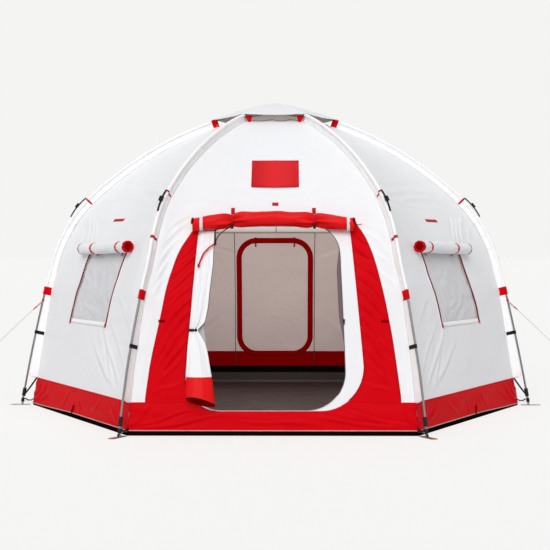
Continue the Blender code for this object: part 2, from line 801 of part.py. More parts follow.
def sleeve_ring(root, centre, radius):
    """Section of the sleeve from its root at the ridge round the far side of its tube."""
    base, middle = Vector(root), Vector(centre)
    away = (middle - base).normalized()
    base = base + away * SEAM_GAP
    half = WEB_THICKNESS / 2
    first = math.asin(min(0.98, half / radius))
    points = [(base, half)]
    for k in range(SLEEVE_ARC_POINTS):
        turn = first + (math.tau - 2 * first) * k / (SLEEVE_ARC_POINTS - 1)
        points.append((middle - away * radius * math.cos(turn), radius * math.sin(turn)))
    points.append((base, -half))
    return [(place.x, side, place.y) for place, side in points]


def wall_root(station):
    """Point of the straight wall's corner that faces a station on the leg."""
    radius, height, lean = station
    slope = (WALL_TOP[0] - WALL_FOOT[0]) / WALL_TOP[1]
    reach = (radius - WALL_FOOT[0] - slope * height) / (math.cos(lean) - slope * math.sin(lean))
    return radius - reach * math.cos(lean), height - reach * math.sin(lean)


nose_radius = WEB_THICKNESS / 2 * 1.04
web_reach = POLE_RADIUS + WEB_TO_POLE + nose_radius
web_stations = [leg_point(WEB_FULL_WIDTH_AT + (LEG_LENGTH - WEB_FULL_WIDTH_AT) * k / 2) for k in range(2)]
web_stations.append(leg_point(LEG_LENGTH - 0.003))
tip_height = MUD_BAND_HEIGHT + WEB_ABOVE_BAND
tip_root = (wall_radius(tip_height), tip_height)
tip_centre = (
    tip_root[0] + WEB_TIP_WIDTH * math.cos(leg_tilt),
    tip_root[1] + WEB_TIP_WIDTH * math.sin(leg_tilt),
)
sleeve_rings = [sleeve_ring(tip_root, tip_centre, nose_radius)]
sleeve_rings += [sleeve_ring(wall_root(s), outward(s, -web_reach), nose_radius) for s in web_stations]
sleeve_rings += [
    sleeve_ring(outward(s, -RIDGE_DEPTH), s[:2], SLEEVE_RADIUS) for s in BOW[LEG_TOP : RIM + 1]
]
bore_low = leg_point(LEG_LENGTH - 0.02)
for rib, angle in RIBS.items():
    name = f"pole_sleeve_{rib}"
    rings = [[around(angle, point) for point in ring] for ring in sleeve_rings]
    sleeve = add_object(name, loft_mesh(name, rings), WHITE_FABRIC, True)
    line = [bore_low] + BOW[LEG_TOP : RIM + 2]
    points = [around(angle, (r, 0.0, z)) for r, z, _ in line]
    bore = tube_mesh(f"sleeve_bore_{rib}", points, BORE_RADIUS)
    boolean(sleeve, add_cutter(f"sleeve_bore_{rib}", bore), "DIFFERENCE")

# Vent cap over the crown, turned in six flat sides
crown_line = BOW[RIM : JOINTS["crown"] + 1]
crown_radius = crown_line[0][0]


def cap_point(station, lift):
    """Cap ridge point above a pole station, with the peak's rise added towards the centre."""
    radius, height = outward(station, SLEEVE_RADIUS + CAP_CLEARANCE + lift)
    return radius, height + CAP_PEAK * (1 - station[0] / crown_radius)


rim_station = crown_line[0]
eave = (
    rim_station[0] + CAP_OVERHANG * math.sin(rim_station[2]),
    rim_station[1] - CAP_OVERHANG * math.cos(rim_station[2]),
    rim_station[2],
)
under = [cap_point(s, 0.0) for s in [eave] + crown_line[:-1]]
over = [cap_point(s, FABRIC) for s in [eave] + crown_line[:-1]]
peak = crown_line[-1][1] + SLEEVE_RADIUS + CAP_CLEARANCE + CAP_PEAK
turned(
    "vent_cap",
    [(0.0, peak + FABRIC)] + list(reversed(over)) + under + [(0.0, peak)],
    WHITE_FABRIC,
    6,
)

# Vent mesh ceiling under the crown, sewn to the canopy's rim
mesh_line = [outward(s, -RIDGE_DEPTH) for s in crown_line[:-1]]
mesh_top = crown_line[-1][1] - RIDGE_DEPTH
mesh_rows = [(r - SEAM_GAP, z + SEAM_GAP) for r, z in mesh_line]
turned(
    "vent_mesh",
    [(0.0, mesh_top + MESH_THICKNESS)]
    + [(r, z + MESH_THICKNESS) for r, z in reversed(mesh_rows)]
    + mesh_rows
    + [(0.0, mesh_top)],
    MESH_FABRIC,
    6,
)


def roll_mesh(name, angle, stations, core, seat_out, grow=0.0, sides=12):
    """Rolled cloth beside a side panel, through stations (along, height, radius)."""
    rings = []
    sideways = around(angle, (0.0, 1.0, 0.0))
    for along, height, radius in stations:
        centre, normal = on_panel(angle, along, height, seat_out + core)
        up = normal.cross(sideways)
        ring = []
        for k in range(sides):
            turn = math.tau * k / sides
            ring.append(centre + (normal * math.cos(turn) + up * math.sin(turn)) * (radius + grow))
        rings.append(ring)
    return loft_mesh(name, rings)


def waisted(half, full, end, waist, waist_at, waist_half):
    """Stations (offset from the middle, radius) of a roll drawn in by two ties, left to right."""
    right = [
        (0.0, full),
        (waist_at - waist_half * 3, full),
        (waist_at - waist_half, waist),
        (waist_at + waist_half, waist),
        (waist_at + waist_half * 3, (full + end) / 2),
        (half, end),
    ]
    return [(-offset, radius) for offset, radius in reversed(right[1:])] + right


# Rolled door awning and its two ties
front = SIDES["front"]
awning_waist_half = TIE_WIDTH / 2 + TIE_MARGIN
awning_seat = band_out + AWNING_GAP


def awning_height(along):
    """Row height of the awning roll's middle, which droops to both ends."""
    return AWNING_ROW - AWNING_DROOP * (along / AWNING_HALF) ** 2


awning = waisted(
    AWNING_HALF, AWNING_RADIUS, AWNING_END_RADIUS, AWNING_WAIST_RADIUS, TIE_OFFSET, awning_waist_half
)
awning = [(along, awning_height(along), radius) for along, radius in awning]
awning_mesh = roll_mesh("door_awning_roll", front, awning, AWNING_RADIUS, awning_seat)
add_object("door_awning_roll", awning_mesh, RED_FABRIC, True)
for side, sign in (("left", -1), ("right", 1)):
    name = f"awning_tie_{side}"

    def tie_stations(half):
        """Stations of a stretch of the roll's waist, this far to each side of the tie."""
        edges = (sign * TIE_OFFSET - half, sign * TIE_OFFSET + half)
        return [(along, awning_height(along), AWNING_WAIST_RADIUS) for along in edges]

    over, under = tie_stations(TIE_WIDTH / 2), tie_stations(awning_waist_half)
    outer = roll_mesh(name, front, over, AWNING_RADIUS, awning_seat, TIE_GAP + TIE_THICKNESS)
    hole = roll_mesh(f"{name}_hole", front, under, AWNING_RADIUS, awning_seat, TIE_GAP)
    tie = add_object(name, outer, RED_FABRIC, True)
    boolean(tie, add_cutter(f"{name}_hole", hole), "DIFFERENCE")

# Tied-back door curtain with its folds, sewn on at its top and standing off the panel below
curtain_rings = []
curtain_top = CURTAIN_SECTIONS[0][0]
for height, left, right_edge, depth in CURTAIN_SECTIONS:
    middle, half = (left + right_edge) / 2, (right_edge - left) / 2
    loose = min(1.0, (curtain_top - height) / CURTAIN_STANDOFF_AT)
    standoff = CURTAIN_SEAT + (CURTAIN_STANDOFF - CURTAIN_SEAT) * loose
    ring = []
    for k in range(CURTAIN_POINTS):
        turn = math.tau * k / CURTAIN_POINTS
        fold = 1 - CURTAIN_FOLD_DEPTH * (0.5 + 0.5 * math.cos(CURTAIN_FOLDS * turn))
        x = middle + half * math.cos(turn) * fold
        y = on_panel(front, x, height, standoff)[0].y - depth / 2 * (1 + math.sin(turn)) * fold
        ring.append(Vector((x, y, height)))
    curtain_rings.append(ring)
add_object("door_curtain", loft_mesh("door_curtain", curtain_rings), WHITE_FABRIC, True)

# Rolled window blinds
blind_half = (BLIND_FRONT - BLIND_BACK) / 2
blind_middle = (BLIND_FRONT + BLIND_BACK) / 2
for side, mirror in (("front_left", 1), ("front_right", -1)):
    blind = waisted(
        blind_half, BLIND_RADIUS, BLIND_RADIUS, BLIND_WAIST_RADIUS, BLIND_TIE_OFFSET, BLIND_WAIST_HALF
    )
    blind_height = WINDOW_HEAD + BLIND_ABOVE_HEAD
    blind = [(mirror * blind_middle + offset, blind_height, radius) for offset, radius in blind]
    name = f"window_blind_{side}"
    blind_mesh = roll_mesh(name, SIDES[side], blind, BLIND_RADIUS, BLIND_GAP, sides=10)
    add_object(name, blind_mesh, WHITE_FABRIC, True)


def slider(name, angle, low, high, height, finish):
    """Zip slider with its hanging pull on the line from low to high, at a height on that line."""

    def on_line(at):
        """Point of the zip's line at a height, and the panel's normal there."""
        share = (at - low[1]) / (high[1] - low[1])
        return on_panel(angle, low[0] + (high[0] - low[0]) * share, at, SEAM_GAP)

    seat, normal = on_line(height)
    run = (on_line(height + SLIDER_LENGTH)[0] - seat).normalized()
    sideways = run.cross(normal).normalized()
    place = Matrix.Identity(4)
    for column, axis in enumerate((sideways, run, normal)):
        place.col[column] = (*axis, 0.0)
    place.col[3] = (*seat, 1.0)
    body_size = (SLIDER_WIDTH, SLIDER_LENGTH, SLIDER_HEIGHT)
    body = box_mesh("slider_body", body_size, place @ Matrix.Translation((0, 0, SLIDER_HEIGHT / 2)))
    pull_place = place @ Matrix.Translation((0, -PULL_LENGTH / 2, SLIDER_HEIGHT + PULL_THICKNESS * 0.3))
    pull = box_mesh("slider_pull", (PULL_WIDTH, PULL_LENGTH, PULL_THICKNESS), pull_place)
    return add_object(name, union_mesh(name, [body, pull]), finish)


# Zip sliders of the door and the windows
for side, sign in (("left", -1), ("right", 1)):
    low = (sign * (DOOR_SILL_HALF + DOOR_ZIP_MARGIN), DOOR_SILL)
    high = (sign * (DOOR_HEAD_HALF + DOOR_ZIP_MARGIN), DOOR_HEAD)
    slider(f"door_slider_{side}", front, low, high, DOOR_SLIDER_HEIGHT, BLACK_PLASTIC)
for side, mirror in (("front_left", 1), ("front_right", -1)):
    edges = (
        ("rear", WINDOW_BACK_SILL - WINDOW_ZIP_MARGIN, WINDOW_BACK_HEAD - WINDOW_ZIP_MARGIN),
        ("front", WINDOW_FRONT_SILL + WINDOW_ZIP_MARGIN, WINDOW_FRONT_HEAD + WINDOW_ZIP_MARGIN),
    )
    for edge, sill, head in edges:
        name = f"window_slider_{side}_{edge}"
        low, high = (mirror * sill, WINDOW_SILL), (mirror * head, WINDOW_HEAD)
        slider(name, SIDES[side], low, high, WINDOW_SLIDER_HEIGHT, RED_PLASTIC)

# Guy lines from the two mid poles to pegs on the ground, each through a runner
for side, angle in (("left", RIBS["mid_left"]), ("right", RIBS["mid_right"])):
    anchor = leg_point(GUY_TOP_ALONG_LEG)
    centre = Vector((anchor[0], 0.0, anchor[1]))
    slope = math.atan2(anchor[1], GUY_GROUND_RADIUS - anchor[0])
    end_height = PEG_RADIUS * 2 + SEAM_GAP + GUY_DIAMETER / 2 * math.cos(slope)
    target = Vector((GUY_GROUND_RADIUS, 0.0, end_height))
    run = (target - centre).normalized()
    upwards = Vector((-math.sin(anchor[2]), 0.0, math.cos(anchor[2])))
    skew = run.angle(upwards)
    start = centre + run * (POLE_RADIUS + SEAM_GAP + GUY_DIAMETER / 2 * abs(math.cos(skew))) / math.sin(skew)
    length = (target - start).length
    points = []
    for k in range(GUY_POINTS):
        along = length * k / (GUY_POINTS - 1)
        free = max(0.0, along - GUY_STRAIGHT) / (length - GUY_STRAIGHT)
        point = start + run * along - Vector((0, 0, GUY_SAG * 4 * free * (1 - free)))
        points.append(around(angle, point))
    add_object(f"guy_line_{side}", tube_mesh(f"guy_line_{side}", points, GUY_DIAMETER / 2), GREY_CORD, True)

    turn = Matrix.Rotation(math.radians(angle), 4, "Z")
    along_run = run.to_track_quat("Z", "Y").to_matrix().to_4x4()
    place = turn @ Matrix.Translation(start + run * RUNNER_AT) @ along_run
    runner = box_mesh("runner", (RUNNER_WIDTH, RUNNER_HEIGHT, RUNNER_LENGTH), place)
    bore = cylinder_mesh("runner_bore", RUNNER_BORE, RUNNER_LENGTH * 2, place)
    name = f"guy_runner_{side}"
    add_object(name, union_mesh(name, [runner], [bore]), RED_PLASTIC)

    hook_at = GUY_GROUND_RADIUS + PEG_LOOP_INSET
    bend = [(hook_at - PEG_LENGTH, 0.0)]
    for k in range(PEG_HOOK_POINTS):
        turned_by = math.pi * k / (PEG_HOOK_POINTS - 1)
        bend.append(
            (
                hook_at + PEG_HOOK_RADIUS * math.sin(turned_by),
                PEG_HOOK_RADIUS * (1 - math.cos(turned_by)),
            )
        )
    points = [around(angle, (x, y, PEG_RADIUS)) for x, y in bend]
    add_object(f"guy_peg_{side}", tube_mesh(f"guy_peg_{side}", points, PEG_RADIUS), STEEL, True)
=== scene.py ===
"""Looks of a hexagonal pole tent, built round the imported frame. Metres, +Z up, the door faces -Y."""

import math

import bmesh
import bpy
import numpy as np
from mathutils import Matrix, Vector


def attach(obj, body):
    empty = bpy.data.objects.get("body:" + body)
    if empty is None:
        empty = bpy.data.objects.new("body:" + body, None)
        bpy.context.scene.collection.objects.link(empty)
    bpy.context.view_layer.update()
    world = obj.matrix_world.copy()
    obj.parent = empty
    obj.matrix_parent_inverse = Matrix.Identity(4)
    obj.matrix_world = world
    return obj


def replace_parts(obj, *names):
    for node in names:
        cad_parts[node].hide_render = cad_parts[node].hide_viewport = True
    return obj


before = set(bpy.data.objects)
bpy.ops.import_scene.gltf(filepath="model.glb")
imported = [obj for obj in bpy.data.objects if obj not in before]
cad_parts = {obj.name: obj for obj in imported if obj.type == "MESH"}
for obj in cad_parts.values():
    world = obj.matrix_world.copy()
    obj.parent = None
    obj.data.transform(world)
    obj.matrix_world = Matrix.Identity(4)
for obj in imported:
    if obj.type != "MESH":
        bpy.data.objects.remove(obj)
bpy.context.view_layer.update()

# Camera and studio
# A long lens at head height looks straight at the door. A soft front light and a plain
# sky light the tent, and a pale floor runs into a background of the same tone.
camera = bpy.data.objects.new("camera", bpy.data.cameras.new("camera"))
camera.location = (0.10, -12.16, 1.4985)
camera.rotation_euler = (math.radians(88.983), 0.0, math.radians(0.47))
camera.data.sensor_width = 36.0
camera.data.lens = 80.72
bpy.context.scene.collection.objects.link(camera)
bpy.context.scene.camera = camera
bpy.context.scene.view_settings.view_transform = "Standard"

BACKGROUND = (0.905, 0.905, 0.89)
FLOOR_SEEN = (1.085, 1.085, 1.066)
SKY_LIGHT = 0.40
FLOOR_TONE = (0.75, 0.75, 0.742)
FLOOR_GLOW = 0.62


def add_sun(name, towards, strength, spread):
    """Soft sun lamp that shines from a direction given as a vector towards it."""
    lamp = bpy.data.lights.new(name, "SUN")
    lamp.energy = strength
    lamp.angle = math.radians(spread)
    made = bpy.data.objects.new(name, lamp)
    made.rotation_euler = Vector(towards).to_track_quat("Z", "Y").to_euler()
    bpy.context.scene.collection.objects.link(made)


add_sun("front_light", (-0.12, -0.80, 0.60), 1.73, 38)
add_sun("top_light", (-0.1, 0.05, 1.0), 0.34, 70)


class Signal:
    """A socket of a node tree, on which plain arithmetic adds Math nodes."""

    def __init__(self, socket):
        self.socket = socket

    def math(self, operation, *values):
        tree = self.socket.id_data
        made = tree.nodes.new("ShaderNodeMath")
        made.operation = operation
        for slot, value in zip(made.inputs, values):
            plug(slot, value)
        return Signal(made.outputs[0])

    def __add__(self, other):
        return self.math("ADD", self, other)

    def __mul__(self, other):
        return self.math("MULTIPLY", self, other)

    def __gt__(self, other):
        return self.math("GREATER_THAN", self, other)

    __radd__ = __add__
    __rmul__ = __mul__


def plug(slot, value):
    """Links a signal to a socket, or sets the socket to a plain value."""
    if isinstance(value, Signal):
        slot.id_data.links.new(value.socket, slot)
    elif isinstance(value, tuple) and len(value) == 3 and slot.type == "RGBA":
        slot.default_value = (*value, 1.0)
    else:
        slot.default_value = value


class Finish:
    """A material with one Principled shader, and the one way to add nodes to it."""

    def __init__(self, name, colour, roughness, metallic=0.0, **fixed):
        self.material = bpy.data.materials.new(name)
        self.material.use_nodes = True
        self.tree = self.material.node_tree
        self.shader = self.tree.nodes["Principled BSDF"]
        self.feed("Base Color", colour)
        self.feed("Roughness", roughness)
        self.feed("Metallic", metallic)
        for name, value in fixed.items():
            self.feed(name.replace("_", " ").title().replace("Ior", "IOR"), value)

    def feed(self, socket, value):
        """Sets or links a socket of the shader."""
        plug(self.shader.inputs[socket], value)

    def node(self, kind, settings=None, output=0, **sockets):
        """Adds a node: its settings first, then the values or links of its sockets."""
        made = self.tree.nodes.new(kind)
        for key, value in (settings or {}).items():
            setattr(made, key, value)
        for key, value in sockets.items():
            numbered = key[0] == "n" and key[1:].isdigit()
            plug(made.inputs[int(key[1:]) if numbered else key], value)
        return Signal(made.outputs[output])

    def mix(self, share, low, high):
        """Colour between two colours by a share."""
        return self.node("ShaderNodeMix", {"data_type": "RGBA"}, 2, n0=share, n6=low, n7=high)

    def noise(self, scale, detail=3.0, rough=0.55, where=None):
        """Soft noise from 0 to 1, on Object coordinates unless another place is given."""
        place = where or self.node("ShaderNodeTexCoord", output="Object")
        return self.node("ShaderNodeTexNoise", Vector=place, Scale=scale, Detail=detail, Roughness=rough)

    def bump(self, height, distance, strength=1.0, under=None):
        """Bump from a height signal, over another bump if one is given."""
        made = self.node("ShaderNodeBump", Height=height, Distance=distance, Strength=strength)
        if under:
            plug(made.socket.node.inputs["Normal"], under)
        return made


def mix_by_view(tree, lit, seen, share, target):
    """Links a mix to a target: what lights the scene, and by a share what is looked at."""
    path = tree.nodes.new("ShaderNodeLightPath")
    looks = Signal(path.outputs["Is Camera Ray"]) + Signal(path.outputs["Is Glossy Ray"])
    looks = looks + Signal(path.outputs["Is Transmission Ray"])
    mixed = tree.nodes.new("ShaderNodeMixShader")
    plug(mixed.inputs[0], (looks > 0.5) * share)
    tree.links.new(lit.outputs[0], mixed.inputs[1])
    tree.links.new(seen.outputs[0], mixed.inputs[2])
    tree.links.new(mixed.outputs[0], tree.nodes[target].inputs["Surface"])


world = bpy.data.worlds.new("studio")
world.use_nodes = True
bpy.context.scene.world = world
sky = world.node_tree.nodes["Background"]
seen_sky = world.node_tree.nodes.new("ShaderNodeBackground")
seen_sky.inputs["Color"].default_value = (*BACKGROUND, 1.0)
sky.inputs["Color"].default_value = (0.985, 0.99, 1.0, 1.0)
sky.inputs["Strength"].default_value = SKY_LIGHT
mix_by_view(world.node_tree, sky, seen_sky, 1.0, "World Output")

floor_finish = Finish("floor_paint", FLOOR_TONE, 0.9)
floor_seen = floor_finish.tree.nodes.new("ShaderNodeEmission")
floor_seen.inputs["Color"].default_value = (*FLOOR_SEEN, 1.0)
mix_by_view(floor_finish.tree, floor_finish.shader, floor_seen, FLOOR_GLOW, "Material Output")
floor_mesh = bpy.data.meshes.new("floor")
floor_mesh.from_pydata([(-400, -400, 0), (400, -400, 0), (400, 400, 0), (-400, 400, 0)], [], [(0, 1, 2, 3)])
floor_mesh.materials.append(floor_finish.material)
studio_floor = bpy.data.objects.new("studio_floor", floor_mesh)
bpy.context.scene.collection.objects.link(studio_floor)
studio_floor.location.z = -0.0005

# Guy lines with their runners and pegs
# A grey braided line runs taut from each middle pole's foot section to a wire peg on the
# ground, through a red runner that tightens it. Its route is the one in the part's source.
POLE_SECTIONS = ((1.13, 13.7, 3), (0.30, 15.3, 1), (0.775, 46.8, 5), (1.435, 71.4, 5), (0.595, 81.6, 3))
FOOT_LEAN = 9.8
HINGE_HEIGHT = 0.018
POLE_RADIUS = 0.0125
LEG_TOP = 3
RIM = 14
SEAM_GAP = 0.0003
RIBS = {
    "mid_right": 0, "rear_right": 60, "rear_left": 120, "mid_left": 180, "front_left": 240,
    "front_right": 300,
}
SIDES = {"rear_right": 30, "rear": 90, "rear_left": 150, "front_left": 210, "front": 270, "front_right": 330}
COS30, TAN30 = math.cos(math.radians(30)), math.tan(math.radians(30))


def travelled(line):
    """Length run along a line of flat points, at each point."""
    return np.concatenate([[0.0], np.cumsum(np.hypot(*np.diff(line, axis=0).T))])


def bow_stations():
    """Radius, height and lean of the pole's middle at its stations, from the foot hinge to the crown."""
    radius, height, lean = 0.0, HINGE_HEIGHT, FOOT_LEAN
    found = [(radius, height, lean)]
    for length, end_lean, steps in POLE_SECTIONS:
        start = lean
        for k in range(steps):
            middle = math.radians(start + (end_lean - start) * (k + 0.5) / steps)
            radius -= math.sin(middle) * length / steps
            height += math.cos(middle) * length / steps
            lean = start + (end_lean - start) * (k + 1) / steps
            found.append((radius, height, lean))
    return np.array([(r - radius, z, math.radians(a)) for r, z, a in found])


BOW = bow_stations()
BOW_ARC = travelled(BOW[:, :2])


def smooth(t):
    """Eases from 0 to 1 as t goes from 0 to 1."""
    t = np.clip(t, 0.0, 1.0)
    return t * t * (3 - 2 * t)


def curved(stations, arcs, leans, at):
    """Points on a smooth line through stations whose direction leans in from upright, at arc lengths."""
    at = np.asarray(at, float)
    k = np.clip(np.searchsorted(arcs, at, side="right") - 1, 0, len(arcs) - 2)
    span = arcs[k + 1] - arcs[k]
    t = ((at - arcs[k]) / span)[..., None]
    runs = np.stack([-np.sin(leans), np.cos(leans)], axis=-1)
    low, high = stations[k], stations[k + 1]
    away = runs[k] * span[..., None]
    arrive = runs[k + 1] * span[..., None]
    return (
        low * (2 * t**3 - 3 * t**2 + 1)
        + away * (t**3 - 2 * t**2 + t)
        + high * (3 * t**2 - 2 * t**3)
        + arrive * (t**3 - t**2)
    )


def turned_to(angle, outwards, sideways, up):
    """Points (n, 3) from distances outwards, sideways and up at a rib or side's angle in degrees."""
    c, s = math.cos(math.radians(angle)), math.sin(math.radians(angle))
    outwards, sideways, up = np.broadcast_arrays(outwards, sideways, up)
    return np.stack([outwards * c - sideways * s, outwards * s + sideways * c, up], axis=-1)


pieces = []


def add_piece(name, shape, slot, *finishes, body="tent"):
    """Puts a mesh or curve in the scene as a piece of the tent, with its finishes and body; the slot is not
    used.
    """
    made = bpy.data.objects.new(name, shape)
    bpy.context.scene.collection.objects.link(made)
    for finish in finishes:
        shape.materials.append(finish)
    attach(made, body)
    pieces.append(made)
    return made


CORD_TWIST = 0.006


def cord_finish(name, colour):
    """Braided cord: slanted strands across the line, on Object coordinates."""
    finish = Finish(name, colour, 0.85)
    place = finish.node("ShaderNodeTexCoord", output="Object")
    strands = finish.node(
        "ShaderNodeTexWave", {"bands_direction": "DIAGONAL"}, Vector=place, Scale=0.3 / CORD_TWIST,
    )
    finish.feed("Normal", finish.bump(strands, 0.0006))
    shade = finish.noise(60.0) * 0.4 + strands * 0.3
    finish.feed("Base Color", finish.mix(shade, colour, tuple(c * 0.45 for c in colour)))
    return finish.material


GUY_DIAMETER = 0.004
GUY_TOP_ALONG_LEG = 1.035
GUY_GROUND_RADIUS = 3.385
GUY_SAG = 0.010
GUY_POINTS = 26
GUY_STRAIGHT = 0.40
PEG_RADIUS = 0.0035


def leg_point(along):
    """Station on the pole's middle at a distance up the leg from the hinge."""
    return np.array([np.interp(along, BOW_ARC, BOW[:, column]) for column in range(3)])


def guy_route():
    """Points (radius, height) of a guy line from the pole down to its peg."""
    radius, height, lean = leg_point(GUY_TOP_ALONG_LEG)
    slope = math.atan2(height, GUY_GROUND_RADIUS - radius)
    end_height = PEG_RADIUS * 2 + SEAM_GAP + GUY_DIAMETER / 2 * math.cos(slope)
    run = np.array([GUY_GROUND_RADIUS - radius, end_height - height])
    run /= np.linalg.norm(run)
    skew = math.acos(float(run @ (-math.sin(lean), math.cos(lean))))
    clear = (POLE_RADIUS + SEAM_GAP + GUY_DIAMETER / 2 * abs(math.cos(skew))) / math.sin(skew)
    start = np.array([radius, height]) + run * clear
    length = np.linalg.norm(np.array([GUY_GROUND_RADIUS, end_height]) - start)
    along = np.linspace(0.0, length, GUY_POINTS)
    free = np.maximum(0.0, along - GUY_STRAIGHT) / (length - GUY_STRAIGHT)
    points = start + along[:, None] * run
    points[:, 1] -= GUY_SAG * 4 * free * (1 - free)
    return points, length


def line_curve(name, radius, *lines):
    """Round cords through lists of points, as one curve with closed ends."""
    curve = bpy.data.curves.new(name, "CURVE")
    curve.dimensions = "3D"
    curve.bevel_depth = radius
    curve.bevel_resolution = 4
    curve.use_fill_caps = True
    for line in lines:
        spline = curve.splines.new("POLY")
        spline.points.add(len(line) - 1)
        for place, point in zip(spline.points, line):
            place.co = (*point, 1.0)
    return curve


grey_cord = cord_finish("grey_cord", (0.50, 0.50, 0.49))
guy_points, guy_length = guy_route()
for side, angle in (("left", RIBS["mid_left"]), ("right", RIBS["mid_right"])):
    route = turned_to(angle, guy_points[:, 0], 0.0, guy_points[:, 1])
    guy = add_piece(
        f"guy_cord_{side}", line_curve(f"guy_cord_{side}", GUY_DIAMETER / 2, route), "guy_cord", grey_cord,
    )
    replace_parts(guy, f"guy_line_{side}")


MOULD_GRAIN = 900.0
METAL_SCRATCHES = 180.0


def moulded(name, colour, roughness):
    """Moulded nylon: a fine grain in the surface and slightly polished patches of wear."""
    finish = Finish(name, colour, roughness, specular_ior_level=0.2)
    fine, broad = finish.noise(MOULD_GRAIN), finish.noise(25.0)
    finish.feed("Normal", finish.bump(fine, 0.0002, 0.5))
    finish.feed("Roughness", broad * 0.25 + (roughness - 0.12))
    finish.feed(
        "Base Color", finish.mix(broad, tuple(c * 0.8 for c in colour), tuple(c * 1.25 for c in colour)),
    )
    return finish.material


def metal(name, colour, roughness):
    """Drawn or pressed metal: faint scratches along it and duller patches."""
    finish = Finish(name, colour, roughness, 1.0)
    place = finish.node("ShaderNodeTexCoord", output="Object")
    drawn = finish.node("ShaderNodeMapping", Vector=place, Scale=(1.0, 1.0, 0.04))
    lines, patches = finish.noise(METAL_SCRATCHES, where=drawn), finish.noise(9.0)
    finish.feed("Normal", finish.bump(lines, 0.0002, 0.4))
    finish.feed("Roughness", patches * 0.22 + lines * 0.10 + (roughness - 0.16))
    finish.feed(
        "Base Color", finish.mix(patches, tuple(c * 0.78 for c in colour), tuple(c * 1.1 for c in colour)),
    )
    return finish.material


def dress(node, finish):
    """Gives a CAD node that stays in view its finish."""
    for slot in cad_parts[node].material_slots:
        slot.material = finish


black_nylon = moulded("black_nylon", (0.009, 0.009, 0.010), 0.48)
red_nylon = moulded("red_nylon", (0.62, 0.02, 0.025), 0.42)
peg_steel = metal("peg_steel", (0.55, 0.55, 0.56), 0.36)
for side in ("left", "right"):
    dress(f"guy_runner_{side}", red_nylon)
    dress(f"guy_peg_{side}", peg_steel)

# Bow poles, crown hub, feet and plates
# Each bow is a satin aluminium tube. It stands in a black nylon boot with a steel spigot,
# which is pinned to a galvanised plate that lies on the ground and has a peg hole.
pole_metal = metal("pole_metal", (0.25, 0.25, 0.26), 0.34)
plate_steel = metal("plate_steel", (0.34, 0.34, 0.35), 0.42)
dress("crown_hub", black_nylon)
TUBE_RADIUS = 0.0096
TUBE_SIDES = 20


def grid_mesh(name, points, chart, wrap=False, caps=False):
    """Smooth mesh over a grid of points (rows, columns, 3), with its chart in metres as UV map."""
    rows, columns = points.shape[:2]
    index = np.arange(rows * columns).reshape(rows, columns)
    if wrap:
        index = np.concatenate([index, index[:, :1]], axis=1)
    quads = np.stack([index[:-1, :-1], index[:-1, 1:], index[1:, 1:], index[1:, :-1]], axis=-1).reshape(-1, 4)
    corners = np.stack(
        [chart[:-1, :-1], chart[:-1, 1:], chart[1:, 1:], chart[1:, :-1]], axis=2,
    ).reshape(-1, 2)
    faces = quads.tolist()
    if caps:
        faces += [index[0, :columns][::-1].tolist(), index[-1, :columns].tolist()]
        flat = [np.tile(chart[row, 0], (columns, 1)) for row in (0, -1)]
        corners = np.concatenate([corners, *flat])
    mesh = bpy.data.meshes.new(name)
    mesh.from_pydata(points.reshape(-1, 3).tolist(), [], faces)
    layer = mesh.uv_layers.new(name="chart")
    layer.data.foreach_set("uv", corners.astype(np.float32).ravel())
    mesh.shade_smooth()
    return mesh


def chart_of(along, up):
    """Chart of a grid in metres, from its lengths along and up."""
    return np.stack(np.broadcast_arrays(along, up), axis=-1)


def around(sides):
    """Angles of a full turn at equal steps, without the last one."""
    return np.linspace(0, math.tau, sides + 1)[:-1]


def leaning(lean):
    """Flat direction (outwards, up) square to a bow that leans in by an angle."""
    return np.stack([np.cos(lean), np.sin(lean)], axis=-1)


def bow_at(arc):
    """Middle of the pole (radius, height) and its lean at arc lengths from the foot."""
    return curved(BOW[:, :2], BOW_ARC, BOW[:, 2], arc), np.interp(arc, BOW_ARC, BOW[:, 2])


for rib, angle in RIBS.items():
    arc = np.linspace(0.010, BOW_ARC[-1] - 0.030, 220)
    middle, lean = bow_at(arc)
    turn = np.linspace(0, math.tau, TUBE_SIDES + 1)
    reach, aside = TUBE_RADIUS * np.cos(turn[:-1]), TUBE_RADIUS * np.sin(turn[:-1])
    outwards = middle[:, :1] + np.cos(lean)[:, None] * reach
    up = middle[:, 1:] + np.sin(lean)[:, None] * reach
    chart = chart_of(turn * TUBE_RADIUS, arc[:, None])
    tube = grid_mesh(f"tube_{rib}", turned_to(angle, outwards, aside, up), chart, wrap=True, caps=True)
    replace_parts(add_piece(f"tube_{rib}", tube, "pole_metal", pole_metal), f"arch_pole_{rib}")

for rib in RIBS:
    dress(f"foot_boot_{rib}", black_nylon)
    dress(f"foot_plate_{rib}", plate_steel)

# Canopy: six gores of coated polyester
# Each gore is one continuous sheet between two bows, sewn along its ridges, white outside
# and beige inside. It sags between the bows and shows the tension folds of a pitched tent.
RIDGE_DEPTH = 0.066
FOOT_TO_CANOPY = 0.110
PANEL_SAG = 0.095
SAG_FROM = 0.80
SAG_EASE = 0.5
GROUND_STRIP = 0.036
CLOTH = 0.0015
GORE_COLUMNS = 128
GORE_ROWS = 250

